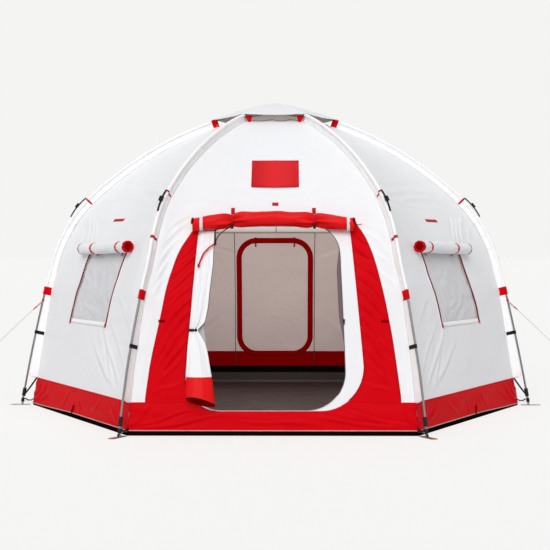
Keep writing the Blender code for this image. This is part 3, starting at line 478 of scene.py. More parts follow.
bow_top = BOW[LEG_TOP : RIM + 1]
ridge_top = bow_top[:, :2] - RIDGE_DEPTH * np.stack([np.cos(bow_top[:, 2]), np.sin(bow_top[:, 2])], axis=-1)
RIDGE = np.vstack([[BOW[0, 0] - FOOT_TO_CANOPY, 0.0], ridge_top])
WALL_LEAN = math.atan2(RIDGE[0, 0] - RIDGE[1, 0], RIDGE[1, 1])
RIDGE_LEAN = np.concatenate([[WALL_LEAN, WALL_LEAN], bow_top[1:, 2]])
RIDGE_ARC = travelled(RIDGE)
SIDE_HALF = RIDGE[0, 0] * COS30 * TAN30
RIM_CLIMB = RIDGE_ARC[-1]
GROUND_CLIMB = GROUND_STRIP / math.cos(WALL_LEAN)
SAG_CLIMB = SAG_FROM / math.cos(WALL_LEAN)


RIPPLES = 9


def ripple(x, y, length, seed):
    """Soft random waves of about one length over a cloth, from -1 to 1."""
    rng = np.random.default_rng(seed)
    total = np.zeros(np.broadcast(x, y).shape)
    for _ in range(RIPPLES):
        way, phase = rng.uniform(0, math.tau, 2)
        beat = math.tau / (length * rng.uniform(0.7, 1.5))
        total += np.sin(beat * (x * math.cos(way) + y * math.sin(way)) + phase)
    return total / math.sqrt(RIPPLES)


def fold(x, z, start, end, width, height):
    """One tension fold: a low ridge with a shallow valley beside it, fading at both ends."""
    run = np.subtract(end, start)
    length = np.hypot(*run)
    t = ((x - start[0]) * run[0] + (z - start[1]) * run[1]) / length**2
    off = ((x - start[0]) * run[1] - (z - start[1]) * run[0]) / length
    off = off + 0.012 * np.sin(t * 7 + start[0] * 9)
    fade = smooth(t / 0.3) * smooth((1 - t) / 0.3)
    return height * fade * (
        np.exp(-((off / width) ** 2)) - 0.6 * np.exp(-(((off - 1.7 * width) / width) ** 2))
    )


# Folds seen on each gore: start, end (along, height), width and height
FRONT_FOLDS = (
    ((-1.05, 1.14), (-0.86, 1.34), 0.020, 0.0090),
    ((-1.04, 1.26), (-0.80, 1.50), 0.020, 0.0110),
    ((-1.02, 1.42), (-0.72, 1.66), 0.020, 0.0120),
    ((-0.98, 1.58), (-0.62, 1.80), 0.020, 0.0110),
    ((-0.93, 1.72), (-0.58, 1.86), 0.018, 0.0080),
    ((1.05, 1.20), (0.84, 1.42), 0.020, 0.0090),
    ((1.02, 1.38), (0.76, 1.58), 0.020, 0.0090),
    ((0.98, 1.54), (0.64, 1.76), 0.020, 0.0100),
    ((-0.88, 1.99), (-0.22, 1.90), 0.022, 0.0085),
    ((-0.86, 2.05), (0.10, 1.97), 0.028, 0.0080),
    ((0.88, 2.01), (0.24, 1.91), 0.022, 0.0085),
    ((0.84, 2.08), (0.05, 1.98), 0.024, 0.0065),
    ((-0.80, 2.12), (0.70, 2.09), 0.030, 0.0045),
    ((-1.12, 0.34), (-1.02, 0.95), 0.020, 0.0040),
    ((1.12, 0.34), (1.00, 0.92), 0.020, 0.0040),
    ((-1.02, 0.62), (-0.99, 1.10), 0.022, 0.0030),
    ((0.96, 0.55), (1.03, 1.15), 0.022, 0.0035),
)
SIDE_FOLDS = (
    ((0.34, 0.89), (0.94, 0.31), 0.024, 0.0120),
    ((0.38, 0.86), (0.78, 0.27), 0.020, 0.0085),
    ((0.46, 0.98), (1.08, 0.40), 0.020, 0.0065),
    ((0.08, 0.74), (0.88, 0.28), 0.026, 0.0075),
    ((-0.42, 0.84), (-1.00, 0.34), 0.026, 0.0050),
    ((-0.60, 0.95), (-1.06, 0.62), 0.022, 0.0035),
    ((0.55, 1.18), (1.06, 0.80), 0.022, 0.0035),
    ((-0.54, 1.58), (-0.84, 1.89), 0.018, 0.0080),
    ((-0.45, 1.58), (-0.76, 1.89), 0.018, 0.0090),
    ((-0.37, 1.58), (-0.68, 1.89), 0.016, 0.0080),
    ((-0.62, 1.52), (-0.90, 1.78), 0.018, 0.0050),
    ((0.70, 1.74), (0.80, 2.00), 0.022, 0.0040),
    ((-0.86, 2.02), (0.30, 2.00), 0.026, 0.0090),
    ((-0.82, 2.09), (0.70, 2.05), 0.030, 0.0085),
    ((-0.30, 1.93), (0.84, 1.99), 0.022, 0.0070),
    ((-0.55, 2.20), (0.60, 2.12), 0.030, 0.0055),
    ((0.60, 1.62), (0.86, 1.90), 0.020, 0.0050),
)
REAR_FOLDS = (
    ((-1.02, 0.40), (-0.50, 0.85), 0.026, 0.0055),
    ((1.02, 0.40), (0.55, 0.90), 0.026, 0.0055),
    ((-0.95, 1.60), (-0.40, 1.45), 0.024, 0.0050),
    ((0.95, 1.62), (0.35, 1.48), 0.024, 0.0050),
    ((-0.84, 2.03), (0.80, 2.05), 0.030, 0.0060),
    ((-0.70, 2.12), (0.20, 2.08), 0.024, 0.0045),
    ((-1.08, 0.90), (-0.60, 1.25), 0.022, 0.0040),
    ((1.08, 0.85), (0.62, 1.20), 0.022, 0.0040),
)
SURROUND_OUTER = (
    (1.058, 0.27), (0.993, 0.78), (0.935, 1.09), (0.858, 1.424), (0.775, 1.62), (0.70, 1.765), (0.672, 1.80),
)
FOLDS = {
    "front": (1, FRONT_FOLDS),
    "front_left": (1, SIDE_FOLDS),
    "front_right": (-1, SIDE_FOLDS),
    "rear": (1, REAR_FOLDS),
    "rear_left": (-1, REAR_FOLDS),
    "rear_right": (1, REAR_FOLDS),
}
SEEDS = {side: 11 + 7 * k for k, side in enumerate(SIDES)}


def billow(side, along, height, half):
    """How far the pitched cloth stands out from its smooth sheet, in metres."""
    mirror, folds = FOLDS[side]
    seed = SEEDS[side]
    x = along * mirror
    edge = np.clip(1 - np.abs(along) / half, 0.0, 1.0) * half
    sewn = smooth(edge / 0.09)
    lifted = 0.0035 * ripple(x, height, 0.75, seed) + 0.0011 * ripple(x, height, 0.21, seed + 1)
    creased = ripple(x, height, 0.16, seed + 2)
    lifted = lifted + 0.0012 * (0.5 - np.abs(creased))
    for start, end, width, rise in folds:
        lifted = lifted + fold(x, height, start, end, width, rise)
    near_rib = np.exp(-((edge / 0.08) ** 2)) * smooth(edge / 0.035)
    pucker = np.sin(math.tau * height / 0.047 + 2.0 * ripple(x, height, 0.3, seed + 3))
    roof = smooth((height - 1.5) / 0.5)
    lifted = lifted * sewn + 0.0016 * near_rib * pucker * (0.35 + 0.65 * roof)
    lifted = lifted * smooth((height - 0.29) / 0.16)
    if side == "front":
        edge_x, edge_z = np.array(SURROUND_OUTER).T
        outside = np.maximum(np.abs(along) - np.interp(height, edge_z, edge_x), height - edge_z[-1])
        lifted = lifted * smooth(outside / 0.07)
    return lifted


def gore(side, across, climb, out=0.0, wavy=1.0):
    """Points of a gore at shares across it (-1 to 1) and arc lengths up its ridge."""
    across, climb = np.broadcast_arrays(np.asarray(across, float), np.asarray(climb, float))
    line = curved(RIDGE, RIDGE_ARC, RIDGE_LEAN, climb)
    radius, height = line[..., 0], line[..., 1]
    lean = np.interp(climb, RIDGE_ARC, RIDGE_LEAN)
    share = np.clip((climb - SAG_CLIMB) / (RIM_CLIMB - SAG_CLIMB), 0.0, 1.0)
    sag = PANEL_SAG * 4 * share * (1 - share) * smooth(share / SAG_EASE)
    tilt = np.arctan2(np.sin(lean) * COS30, np.cos(lean))
    half = (radius * COS30 + out * np.cos(tilt)) * TAN30 - SEAM_GAP
    along = across * half
    level = height - sag * (1 - across**2) * np.sin(tilt)
    lift = out - sag * (1 - across**2) + wavy * billow(side, along, level, half)
    return turned_to(SIDES[side], radius * COS30 + lift * np.cos(tilt), along, height + lift * np.sin(tilt))


def on_gore(side, along, height, out=0.0, wavy=1.0):
    """Points of a gore at lengths along it and true heights."""
    along, height = np.broadcast_arrays(np.asarray(along, float), np.asarray(height, float))
    climb = np.interp(height, RIDGE[:, 1], RIDGE_ARC)
    for _ in range(8):
        radius = curved(RIDGE, RIDGE_ARC, RIDGE_LEAN, climb)[..., 0]
        lean = np.interp(climb, RIDGE_ARC, RIDGE_LEAN)
        tilt = np.arctan2(np.sin(lean) * COS30, np.cos(lean))
        half = (radius * COS30 + out * np.cos(tilt)) * TAN30 - SEAM_GAP
        found = gore(side, along / half, climb, out, wavy)
        climb = np.clip(climb + (height - found[..., 2]) / np.cos(np.minimum(tilt, 1.1)), 0.0, RIM_CLIMB)
    return gore(side, along / half, climb, out, wavy)


def cut_out(mesh, angle, outlines, keep=False):
    """Cuts a sheet along convex outlines of (along, height), and keeps or drops what lies inside."""
    bm = bmesh.new()
    bm.from_mesh(mesh)
    turn = Matrix.Rotation(math.radians(angle), 3, "Z")
    for outline in outlines:
        inside = set(bm.faces)
        for (x, z), (next_x, next_z) in zip(outline, outline[1:] + outline[:1]):
            if math.hypot(next_x - x, next_z - z) < 0.0001:
                continue
            start = turn @ Vector((0.0, x, z))
            normal = turn @ Vector((0.0, next_z - z, x - next_x)).normalized()
            parts = {v for f in inside for v in f.verts} | {e for f in inside for e in f.edges} | inside
            done = bmesh.ops.bisect_plane(bm, geom=list(parts), plane_co=start, plane_no=normal, dist=0.00001)
            inside = {
                f
                for f in done["geom"]
                if isinstance(f, bmesh.types.BMFace) and (f.calc_center_median() - start).dot(normal) < 0
            }
        gone = [f for f in bm.faces if f not in inside] if keep else list(inside)
        bmesh.ops.delete(bm, geom=gone, context="FACES")
    bmesh.ops.triangulate(bm, faces=[f for f in bm.faces if len(f.verts) > 4])
    bm.to_mesh(mesh)
    bm.free()
    return mesh


def sheet_area(mesh):
    """Area of one face of a sheet, before it gets its thickness."""
    return sum(face.area for face in mesh.polygons)


def thicken(piece, thickness=CLOTH, inner=0):
    """Gives a sheet its thickness inwards; inner picks the finish of its back."""
    solid = piece.modifiers.new("cloth", "SOLIDIFY")
    solid.thickness = thickness
    solid.offset = -1.0
    solid.use_even_offset = False
    solid.material_offset = inner
    return piece


def joined(name, meshes):
    """One mesh from several, welded where their edges meet."""
    bm = bmesh.new()
    for mesh in meshes:
        bm.from_mesh(mesh)
        bpy.data.meshes.remove(mesh)
    bmesh.ops.remove_doubles(bm, verts=bm.verts, dist=0.0002)
    made = bpy.data.meshes.new(name)
    bm.to_mesh(made)
    bm.free()
    made.shade_smooth()
    return made


STITCH = 0.012


def sewn_strip(
    name, side, path, width, slot, finish, lift=0.0, thick=0.0012, closed=False, arch=0.0, rise_along=None,
):
    """Tape or patch sewn on a gore along (along, height) points; a negative thickness sews it inside."""
    path = np.array(path, float)
    if closed:
        path = np.vstack([path, path[:1]])
    travel = travelled(path)
    fresh = np.concatenate([[True], np.diff(travel) > 0.00001])
    at = np.linspace(0.0, travel[-1], int(travel[-1] / STITCH) + 3)
    line = np.stack([np.interp(at, travel[fresh], path[fresh, k]) for k in (0, 1)], axis=-1)
    run = np.gradient(line, axis=0)
    if closed:
        run[0] = run[-1] = line[1] - line[-2]
    run /= np.linalg.norm(run, axis=-1, keepdims=True)
    square = np.stack([run[:, 1], -run[:, 0]], axis=-1)
    columns = max(3, int(width / STITCH))
    share = np.concatenate([[-1.0], np.linspace(-1, 1, columns), [1.0]])
    rise = lift + thick * np.concatenate([[0.0, 0.7], np.ones(columns - 2), [0.7, 0.0]])
    rise = rise + arch * np.sin(math.pi * at / at[-1])[:, None]
    if rise_along is not None:
        rise = rise + np.interp(at / at[-1], np.linspace(0, 1, len(rise_along)), rise_along)[:, None]
    spot = line[:, None] + square[:, None] * (share * width / 2)[:, None]
    points = on_gore(side, spot[..., 0], spot[..., 1], rise)
    chart = chart_of(np.append(share, -1.0) * width / 2, at[:, None])
    if thick < 0:
        points = points[:, ::-1]
    mesh = grid_mesh(name, points, chart, wrap=True, caps=not closed)
    if closed:
        mesh = joined(name, [mesh])
    return add_piece(name, mesh, slot, finish)


def turned_part(name, centre, axis, profile, slot, finish, sides=24, gathers=0.0):
    """Round part turned about an axis, from (distance along it, radius) points."""
    axis = Vector(axis).normalized()
    first = axis.orthogonal().normalized()
    second = axis.cross(first)
    distance, radius = np.array(profile, float).T
    turn = around(sides)
    spoke = np.outer(np.cos(turn), first) + np.outer(np.sin(turn), second)
    shift = distance[:, None] + gathers * np.cos(9 * turn) * (radius / radius.max())[:, None]
    points = np.array(centre) + shift[..., None] * np.array(axis) + radius[:, None, None] * spoke
    chart = chart_of(np.linspace(0, 0.05, sides + 1), distance[:, None])
    return add_piece(name, grid_mesh(name, points, chart, wrap=True, caps=True), slot, finish)


def bead_profile(length, radius):
    """Profile of a bead or toggle with rounded ends."""
    share = np.linspace(-1, 1, 13)
    return [(s * length / 2, max(radius * (1 - abs(s) ** 4) ** 0.5, radius * 0.08)) for s in share]


CORNER_STEPS = 14


def rounded(corners, radii):
    """Outline through corners, anticlockwise, each rounded by an arc of its radius."""
    found = []
    for k, (corner, radius) in enumerate(zip(corners, radii)):
        here = Vector(corner)
        before = (Vector(corners[k - 1]) - here).normalized()
        after = (Vector(corners[(k + 1) % len(corners)]) - here).normalized()
        half = before.angle(after) / 2
        centre = here + (before + after).normalized() * radius / math.sin(half)
        start = here + before * radius / math.tan(half) - centre
        for i in range(CORNER_STEPS + 1):
            spun = Matrix.Rotation((math.pi - 2 * half) * i / CORNER_STEPS, 2) @ start
            found.append(tuple(centre + spun))
    return found


DOOR = rounded(((-0.728, 0.20), (0.610, 0.20), (0.552, 1.74), (-0.560, 1.74)), (0.27, 0.32, 0.25, 0.25))
SURROUND_INNER = rounded(
    ((-0.748, 0.20), (0.785, 0.20), (0.648, 1.75), (-0.632, 1.75)), (0.28, 0.36, 0.06, 0.06),
)
REAR_DOOR = rounded(((-0.420, 0.344), (0.425, 0.344), (0.425, 1.65), (-0.420, 1.65)), (0.21,) * 4)
# Window edges (rear x, front x, height) at the sill, above the sliders' travel, at the bend and at the head
WINDOW_EDGES = ((-0.465, 0.397, 0.87), (-0.416, 0.433, 1.07), (-0.374, 0.476, 1.21), (-0.354, 0.494, 1.50))


def window_parts(mirror):
    """Convex parts of a window's opening; mirror is 1 on the left and -1 on the right."""
    parts = []
    for (low_rear, low_front, low), (high_rear, high_front, high) in zip(WINDOW_EDGES, WINDOW_EDGES[1:]):
        corners = [(low_rear, low), (low_front, low), (high_front, high + 0.001), (high_rear, high + 0.001)]
        parts.append([(mirror * x, z) for x, z in corners[::mirror]])
    return parts


def cloth_finish(name, colour, roughness, thread=0.0012, blotch=0.05, crumple=0.0012, gloss=None):
    """Woven coated cloth with threads, crumples and blotches; one with its own gloss has no sheen."""
    finish = Finish(name, colour, roughness)
    finish.feed("Sheen Weight", 0.1 if gloss is None else 0.0)
    finish.feed("Specular IOR Level", 0.4 if gloss is None else gloss)
    chart = finish.node("ShaderNodeUVMap", {"uv_map": "chart"})
    warp = finish.node("ShaderNodeTexWave", {"bands_direction": "X"}, Vector=chart, Scale=0.314 / thread)
    weft = finish.node("ShaderNodeTexWave", {"bands_direction": "Y"}, Vector=chart, Scale=0.314 / thread)
    weave = warp.math("MAXIMUM", warp, weft)
    creases = finish.noise(14.0, 5.0, 0.6)
    broad = finish.noise(2.3, 4.0, 0.6)
    low_bump = finish.bump(creases, crumple * 6, 0.35)
    finish.feed("Normal", finish.bump(weave, 0.00012, 0.3, under=low_bump))
    dark = tuple(c * (1 - blotch) for c in colour)
    tone = finish.mix(broad, dark, tuple(min(1.0, c * (1 + blotch * 0.6)) for c in colour))
    finish.feed("Base Color", tone)
    finish.feed("Roughness", creases * 0.16 + (roughness - 0.08))
    return finish.material


white_cloth = cloth_finish("white_cloth", (0.875, 0.88, 0.90), 0.68, blotch=0.025)
lining = cloth_finish("beige_lining", (0.61, 0.525, 0.508), 0.85, blotch=0.06)
gores = {}
openings = {
    "front": [DOOR],
    "rear": [REAR_DOOR],
    "front_left": window_parts(1),
    "front_right": window_parts(-1),
}
for side, angle in SIDES.items():
    across = np.linspace(-1, 1, GORE_COLUMNS + 1)
    climb = np.linspace(GROUND_CLIMB + 0.001, RIM_CLIMB, GORE_ROWS + 1)[:, None]
    points = gore(side, across, climb)
    radius = curved(RIDGE, RIDGE_ARC, RIDGE_LEAN, climb)[..., 0]
    chart = chart_of(across * radius * COS30 * TAN30, climb)
    mesh = grid_mesh(f"canopy_{side}", points, chart)
    if side in openings:
        cut_out(mesh, angle, openings[side])
    area = sheet_area(mesh)
    gores[side] = thicken(add_piece(f"canopy_{side}", mesh, "white_canopy", white_cloth, lining), inner=1)
    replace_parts(gores[side], f"canopy_panel_{side}")
    width, length = 2 * SIDE_HALF, RIM_CLIMB - GROUND_CLIMB
    max(area, 0.3 * width * length)

# Mud band and groundsheet
# A red coated band is sewn round the foot of the walls and notched under the door. The dark
# laminated groundsheet closes the floor, turns up inside as a tub and shows as a strip below.
BAND_TOP = 0.27
BAND_OUT = 0.0023
BAND_ROWS = 36
BAND_COLUMNS = 200
TUB_TOP = 0.20
red_cloth = cloth_finish("red_cloth", (0.67, 0.0020, 0.007), 0.42, blotch=0.10, crumple=0.0005, gloss=0.02)
ground_cloth = cloth_finish("ground_cloth", (0.040, 0.030, 0.028), 0.5, thread=0.003, blotch=0.25, gloss=0.3)
# A darker copy of the groundsheet's cloth: painted shade on its strip below the band and on the tub's upper
# inside wall.
shaded_ground_cloth = cloth_finish("shaded_ground_cloth", (0.005, 0.003, 0.003), 0.6, thread=0.003, blotch=0.2, gloss=0.0)

# Folds that fan out from the band's pegged corners: start, end (along, height), width and height
BAND_SIDE_FOLDS = (
    ((-1.19, 0.030), (-0.84, 0.235), 0.020, 0.0080),
    ((-1.19, 0.020), (-0.66, 0.190), 0.020, 0.0070),
    ((-1.19, 0.075), (-1.00, 0.262), 0.016, 0.0060),
    ((1.19, 0.040), (0.92, 0.250), 0.018, 0.0080),
    ((1.19, 0.030), (0.70, 0.200), 0.020, 0.0070),
    ((-0.45, 0.040), (-0.20, 0.240), 0.022, 0.0045),
    ((0.10, 0.030), (0.02, 0.170), 0.012, 0.0080),
    ((0.55, 0.230), (0.30, 0.050), 0.022, 0.0045),
)
BAND_FRONT_FOLDS = (
    ((-1.19, 0.050), (-0.36, 0.165), 0.013, 0.0130),
    ((-1.19, 0.040), (-0.52, 0.115), 0.012, 0.0110),
    ((-1.18, 0.070), (-0.66, 0.205), 0.012, 0.0110),
    ((-1.19, 0.050), (-1.00, 0.265), 0.015, 0.0120),
    ((1.19, 0.045), (0.30, 0.150), 0.014, 0.0120),
    ((1.19, 0.060), (0.58, 0.195), 0.013, 0.0110),
    ((1.19, 0.050), (1.02, 0.265), 0.015, 0.0120),
    ((-0.40, 0.130), (0.45, 0.080), 0.016, 0.0060),
)


def band_sink(side, share):
    """How far the band's foot hangs down over the groundsheet, at shares across a side."""
    mirror = FOLDS[side][0]
    return 0.0 if side in ("front", "rear") else 0.020 * smooth(-share * mirror)


def band_lift(side, along, height):
    """Slack folds of the band, which hangs from its top seam to its foot seam."""
    share = np.clip((height - GROUND_STRIP) / (BAND_TOP - GROUND_STRIP), 0.0, 1.0)
    loose = np.sin(math.pi * share)
    seed = SEEDS[side] + 40
    slanted = ripple(along * 0.35 + height * 1.4, height * 2.0 - along * 0.2, 0.24, seed)
    folds = 0.0040 + 0.0034 * slanted
    for start, end, width, rise in BAND_FRONT_FOLDS if side in ("front", "rear") else BAND_SIDE_FOLDS:
        folds = folds + fold(along * FOLDS[side][0], height, start, end, width, rise)
    return loose**0.7 * np.maximum(folds, 0.0004)


def band_mesh(side):
    """The band over the foot of one gore, from the groundsheet's strip to the top seam."""
    across = np.linspace(-1, 1, BAND_COLUMNS + 1)
    share = np.linspace(0.0, 1.0, BAND_ROWS + 1)[:, None]
    sink = band_sink(side, across)
    low = GROUND_STRIP + 0.001
    height = low + (BAND_TOP - low) * share - sink * (1 - share) ** 2
    climb = height / math.cos(WALL_LEAN)
    over = 0.3 * sink * (1 - share) ** 3
    points = gore(side, across, climb, BAND_OUT + over + band_lift(side, across * SIDE_HALF, height))
    chart = chart_of(across * SIDE_HALF, climb)
    return grid_mesh(f"band_{side}", points, chart)


band_parts = [band_mesh(side) for side in SIDES]
cut_out(band_parts[list(SIDES).index("front")], SIDES["front"], [SURROUND_INNER])
band_mesh_all = joined("mud_band_cloth", band_parts)
band = thicken(add_piece("mud_band_cloth", band_mesh_all, "red_fabric", red_cloth), CLOTH)
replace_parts(band, "mud_band")

# Inside, the band's turned-up facing shows dark red above the tub
dark_red = cloth_finish("dark_red_cloth", (0.25, 0.0004, 0.0008), 0.8, blotch=0.15, gloss=0.0)
FACING_MIDDLE = 0.285
FACING_WIDTH = 0.175
FACING_GAP = 0.66
for side in SIDES:
    half = (RIDGE[0, 0] - 0.06) * TAN30 * COS30 - 0.02
    spans = ((-half, -FACING_GAP), (FACING_GAP, half)) if side == "front" else ((-half, half),)
    for number, (low, high) in enumerate(spans):
        sewn_strip(
            f"band_facing_{side}_{number}", side, ((low, FACING_MIDDLE), (high, FACING_MIDDLE)), FACING_WIDTH,
            "red_fabric", dark_red, -0.0019 if side.startswith("rear") else -0.0100, -0.0008,
        )
hem_red = cloth_finish("hem_red", (0.72, 0.006, 0.012), 0.5, blotch=0.05, gloss=0.2)
hem_pale = cloth_finish("hem_pale", (0.62, 0.36, 0.33), 0.6, blotch=0.08, gloss=0.05)
for side in SIDES:
    half = SIDE_HALF - 0.012
    hem = [(share * half, 0.041 - float(band_sink(side, share))) for share in np.linspace(-1, 1, 25)]
    sewn_strip(
        f"band_hem_{side}", side, hem, 0.008, "red_fabric", hem_pale, 0.0036, 0.0014,
        rise_along=[0.3 * float(band_sink(side, share)) for share in np.linspace(-1, 1, 25)],
    )
for side, along in (
    ("front_left", -0.089), ("front_right", 0.093), ("rear_left", 0.09), ("rear_right", -0.09),
):
    sewn_strip(
        f"band_loop_{side}", side, ((along - 0.022, 0.042), (along + 0.016, 0.115)), 0.030, "red_fabric",
        dark_red, 0.0110
    )

TUB_INSIDE = -0.0058
TUB_COLUMNS = 60
FLOOR_RINGS = 42
WALL_RINGS = 12
# Height above which the tub's inside wall takes the painted shade.
PAINTED_SHADE_ABOVE = 0.125


def tub_ring(side, height, out):
    """Line of points across one side of the tub at a height, a distance out from the wall's face."""
    across = np.linspace(-1, 1, TUB_COLUMNS + 1)[:-1]
    climb = height / math.cos(WALL_LEAN)
    line = curved(RIDGE, RIDGE_ARC, RIDGE_LEAN, np.array([climb]))[0]
    reach = line[0] * COS30 + out
    return turned_to(SIDES[side], reach, across * reach * TAN30, height)


def tub_surface(stations):
    """Closed six-sided skin through stations (height, distance out, share of the floor's reach)."""
    rings = []
    for height, out, share in stations:
        ring = np.concatenate([tub_ring(side, height, out) for side in SIDES])
        ring[:, :2] *= share
        rings.append(ring)
    points = np.stack(rings)
    travel = np.concatenate([[0.0], np.cumsum(np.linalg.norm(np.diff(points[:, 0], axis=0), axis=-1))])
    round_way = np.linspace(0, 6 * RIDGE[0, 0], points.shape[1] + 1)
    chart = chart_of(round_way, travel[:, None])
    return points, chart


OUTER_FACE = 0.0032
tub_stations = [(0.0, OUTER_FACE, s) for s in (0.02, 0.35, 0.7, 0.97)]
tub_stations += [(0.0, OUTER_FACE, 1.0), (0.004, OUTER_FACE + 0.001, 1.0), (0.018, OUTER_FACE + 0.002, 1.0)]
tub_stations += [(GROUND_STRIP - 0.003, OUTER_FACE, 1.0), (GROUND_STRIP, OUTER_FACE - 0.001, 1.0)]
tub_stations += [(GROUND_STRIP, TUB_INSIDE + 0.002, 1.0)]
tub_stations += [(z, TUB_INSIDE + 0.002, 1.0) for z in np.linspace(0.05, TUB_TOP, 8)]
tub_stations += [(z, TUB_INSIDE, 1.0) for z in np.linspace(TUB_TOP, 0.03, WALL_RINGS - 2)]
tub_stations += [(0.012, TUB_INSIDE - 0.006, 1.0), (0.006, TUB_INSIDE - 0.022, 1.0)]
tub_stations += [(0.005, TUB_INSIDE - 0.05, s) for s in np.linspace(0.99, 0.02, FLOOR_RINGS)]
tub_points, tub_chart = tub_surface(tub_stations)
floor_rows = slice(len(tub_stations) - FLOOR_RINGS, None)
floor_x, floor_y = tub_points[floor_rows, :, 0], tub_points[floor_rows, :, 1]
floor_wave = 0.0060 + 0.0045 * ripple(floor_x * 0.3, floor_y * 1.6, 0.5, 5)
floor_wave = floor_wave + 0.0018 * ripple(floor_x, floor_y, 0.16, 6)
tub_points[floor_rows, :, 2] += np.maximum(floor_wave, 0.0)
groundsheet = add_piece(
    "groundsheet_cloth", grid_mesh("groundsheet_cloth", tub_points, tub_chart, wrap=True, caps=True),
    "ground_fabric", ground_cloth,
)
groundsheet.data.materials.append(shaded_ground_cloth)
first_inside = len(tub_stations) - FLOOR_RINGS - WALL_RINGS
# The outer strip and the upper part of the inside wall take the darker copy of the cloth: painted shade.
for number, face in enumerate(groundsheet.data.polygons):
    inside = number // (6 * TUB_COLUMNS) >= first_inside
    face.material_index = int(face.center.z > PAINTED_SHADE_ABOVE or not inside)
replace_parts(groundsheet, "groundsheet")

# Door surround
# A red facing is sewn round the door, wider at the foot, with slack folds that slant up
# towards the roll. Its inner edge leaves a white reveal beside the opening.
SURROUND_ROWS = 260
SURROUND_COLUMNS = 34
SURROUND_LEFT = (
    (1.056, 0.27), (1.012, 0.612), (0.971, 0.805), (0.931, 0.986), (0.886, 1.229),
    (0.850, 1.339), (0.800, 1.499), (0.745, 1.597), (0.688, 1.672), (0.655, 1.72), (0.640, 1.80),
)
SURROUND_RIGHT = (
    (1.058, 0.27), (0.993, 0.78), (0.936, 1.09), (0.910, 1.197), (0.869, 1.375),
    (0.813, 1.555), (0.756, 1.676), (0.698, 1.761), (0.672, 1.80),
)
SURROUND_FOLDS = (
    ((0.95, 0.44), (0.70, 0.84), 0.016, 0.0130),
    ((0.92, 0.60), (0.70, 0.96), 0.014, 0.0110),
    ((0.98, 0.36), (0.76, 0.66), 0.016, 0.0090),
    ((1.02, 0.33), (0.72, 0.45), 0.016, 0.0060),
)


def surround_edge(height, corners):
    """Outer edge of the surround at heights, rounded off between its corners."""
    corners_x, corners_z = np.array(corners).T
    wide = [np.interp(height + shift, corners_z, corners_x) for shift in np.linspace(-0.08, 0.08, 9)]
    return sum(wide) / len(wide)


def reveal_edge(height, sign):
    """Inner edge of the surround at heights, on the left (-1) or the right (1)."""
    pairs = sorted((z, x * sign) for x, z in SURROUND_INNER if x * sign > 0 and z < 1.68)
    top = 0.648 if sign > 0 else 0.632
    return np.interp(height, [z for z, x in pairs] + [1.75], [x for z, x in pairs] + [top])


surround_parts = []
surround_z = np.linspace(BAND_TOP - 0.0015, 1.80, SURROUND_ROWS + 1)[:, None]
for sign, corners in ((-1, SURROUND_LEFT), (1, SURROUND_RIGHT)):
    outer_edge, inner_edge = surround_edge(surround_z, corners), reveal_edge(surround_z, sign)
    share = np.linspace(0, 1, SURROUND_COLUMNS + 1)
    x = inner_edge + (outer_edge - inner_edge) * (share if sign > 0 else 1 - share)
    slack = np.sin(math.pi * share) ** 0.8 * smooth((surround_z - 0.27) / 0.08)
    slack = slack * smooth((1.80 - surround_z) / 0.06)
    drift = 0.16 * ripple(x, surround_z, 0.60, 71 + sign)
    steep = 1.40 - 0.55 * smooth((surround_z - 0.70) / 0.70)
    beat = (surround_z + steep * (x - 0.80)) / 0.112 + drift
    crease = (1 - np.abs(np.sin(math.pi * beat))) ** 1.7
    minor = (1 - np.abs(np.sin(math.pi * (beat * 2.1 + 2.3 * drift)))) ** 1.5
    uneven = 0.60 + 0.50 * ripple(x, surround_z, 0.26, 75 + sign)
    calm = 0.15 + 0.85 * smooth((surround_z - 0.50) / 0.4)
    lift = calm * (0.0230 * crease * uneven + 0.0050 * minor) + 0.002
    for start, end, width, rise in SURROUND_FOLDS:
        lift = lift + fold(x, surround_z, start, end, width, rise)
    lift = BAND_OUT + 0.0003 + slack * np.maximum(lift, 0.0006)
    points = on_gore("front", sign * x, surround_z, lift)
    chart = chart_of(sign * x, surround_z)
    surround_parts.append(grid_mesh(f"surround_{sign}", points, chart))
surround_mesh = joined("surround_cloth", surround_parts)
surround = thicken(add_piece("door_surround_cloth", surround_mesh, "red_fabric", red_cloth))
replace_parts(surround, "door_surround")

piping_red = cloth_finish("piping_red", (0.36, 0.001, 0.004), 0.7, blotch=0.1, gloss=0.02)
for name, sign, corners in (("left", -1, SURROUND_LEFT), ("right", 1, SURROUND_RIGHT)):
    sewn_strip(
        f"surround_tab_{name}", "front", ((sign * 0.925 - 0.0275, 0.935), (sign * 0.925 + 0.0275, 0.935)),
        0.018,
        "red_fabric", dark_red, 0.0105, 0.002,
    )
    levels = np.linspace(0.285, 1.70, 60)
    inner_line = [(sign * float(reveal_edge(z, sign)), z) for z in levels]
    outer_line = [(sign * float(surround_edge(z, corners)), z) for z in levels]
    for word, line, width in (("inner", inner_line, 0.007), ("outer", outer_line, 0.005)):
        piping = f"surround_piping_{word}_{name}"
        sewn_strip(piping, "front", line, width, "red_fabric", piping_red, 0.0006, 0.0030)
pull_line = ((-0.592, 0.145), (-0.586, 0.235))
sewn_strip("door_pull_tab", "front", pull_line, 0.014, "red_fabric", red_cloth, 0.0075, 0.003)

# Rolled door awning and its ties
# The red door leaf is rolled up over the door and held by two red straps with black toggles.
# It is pinched at each strap, bound with white webbing near its ends, and droops a little.
AWNING_HALF = 0.68
AWNING_RADIUS = 0.067
AWNING_ROW = 1.79
AWNING_DROOP = 0.053
AWNING_SEAT = 0.0044
TIE_OFFSET = 0.348
TIE_WIDTH = 0.036
ROLL_SIDES = 72
ROLL_WAVES = 8


def gore_tilt(height):
    """Tilt of a gore's face from upright at a height."""
    climb = np.interp(height, RIDGE[:, 1], RIDGE_ARC)
    lean = np.interp(climb, RIDGE_ARC, RIDGE_LEAN)
    return np.arctan2(np.sin(lean) * COS30, np.cos(lean))


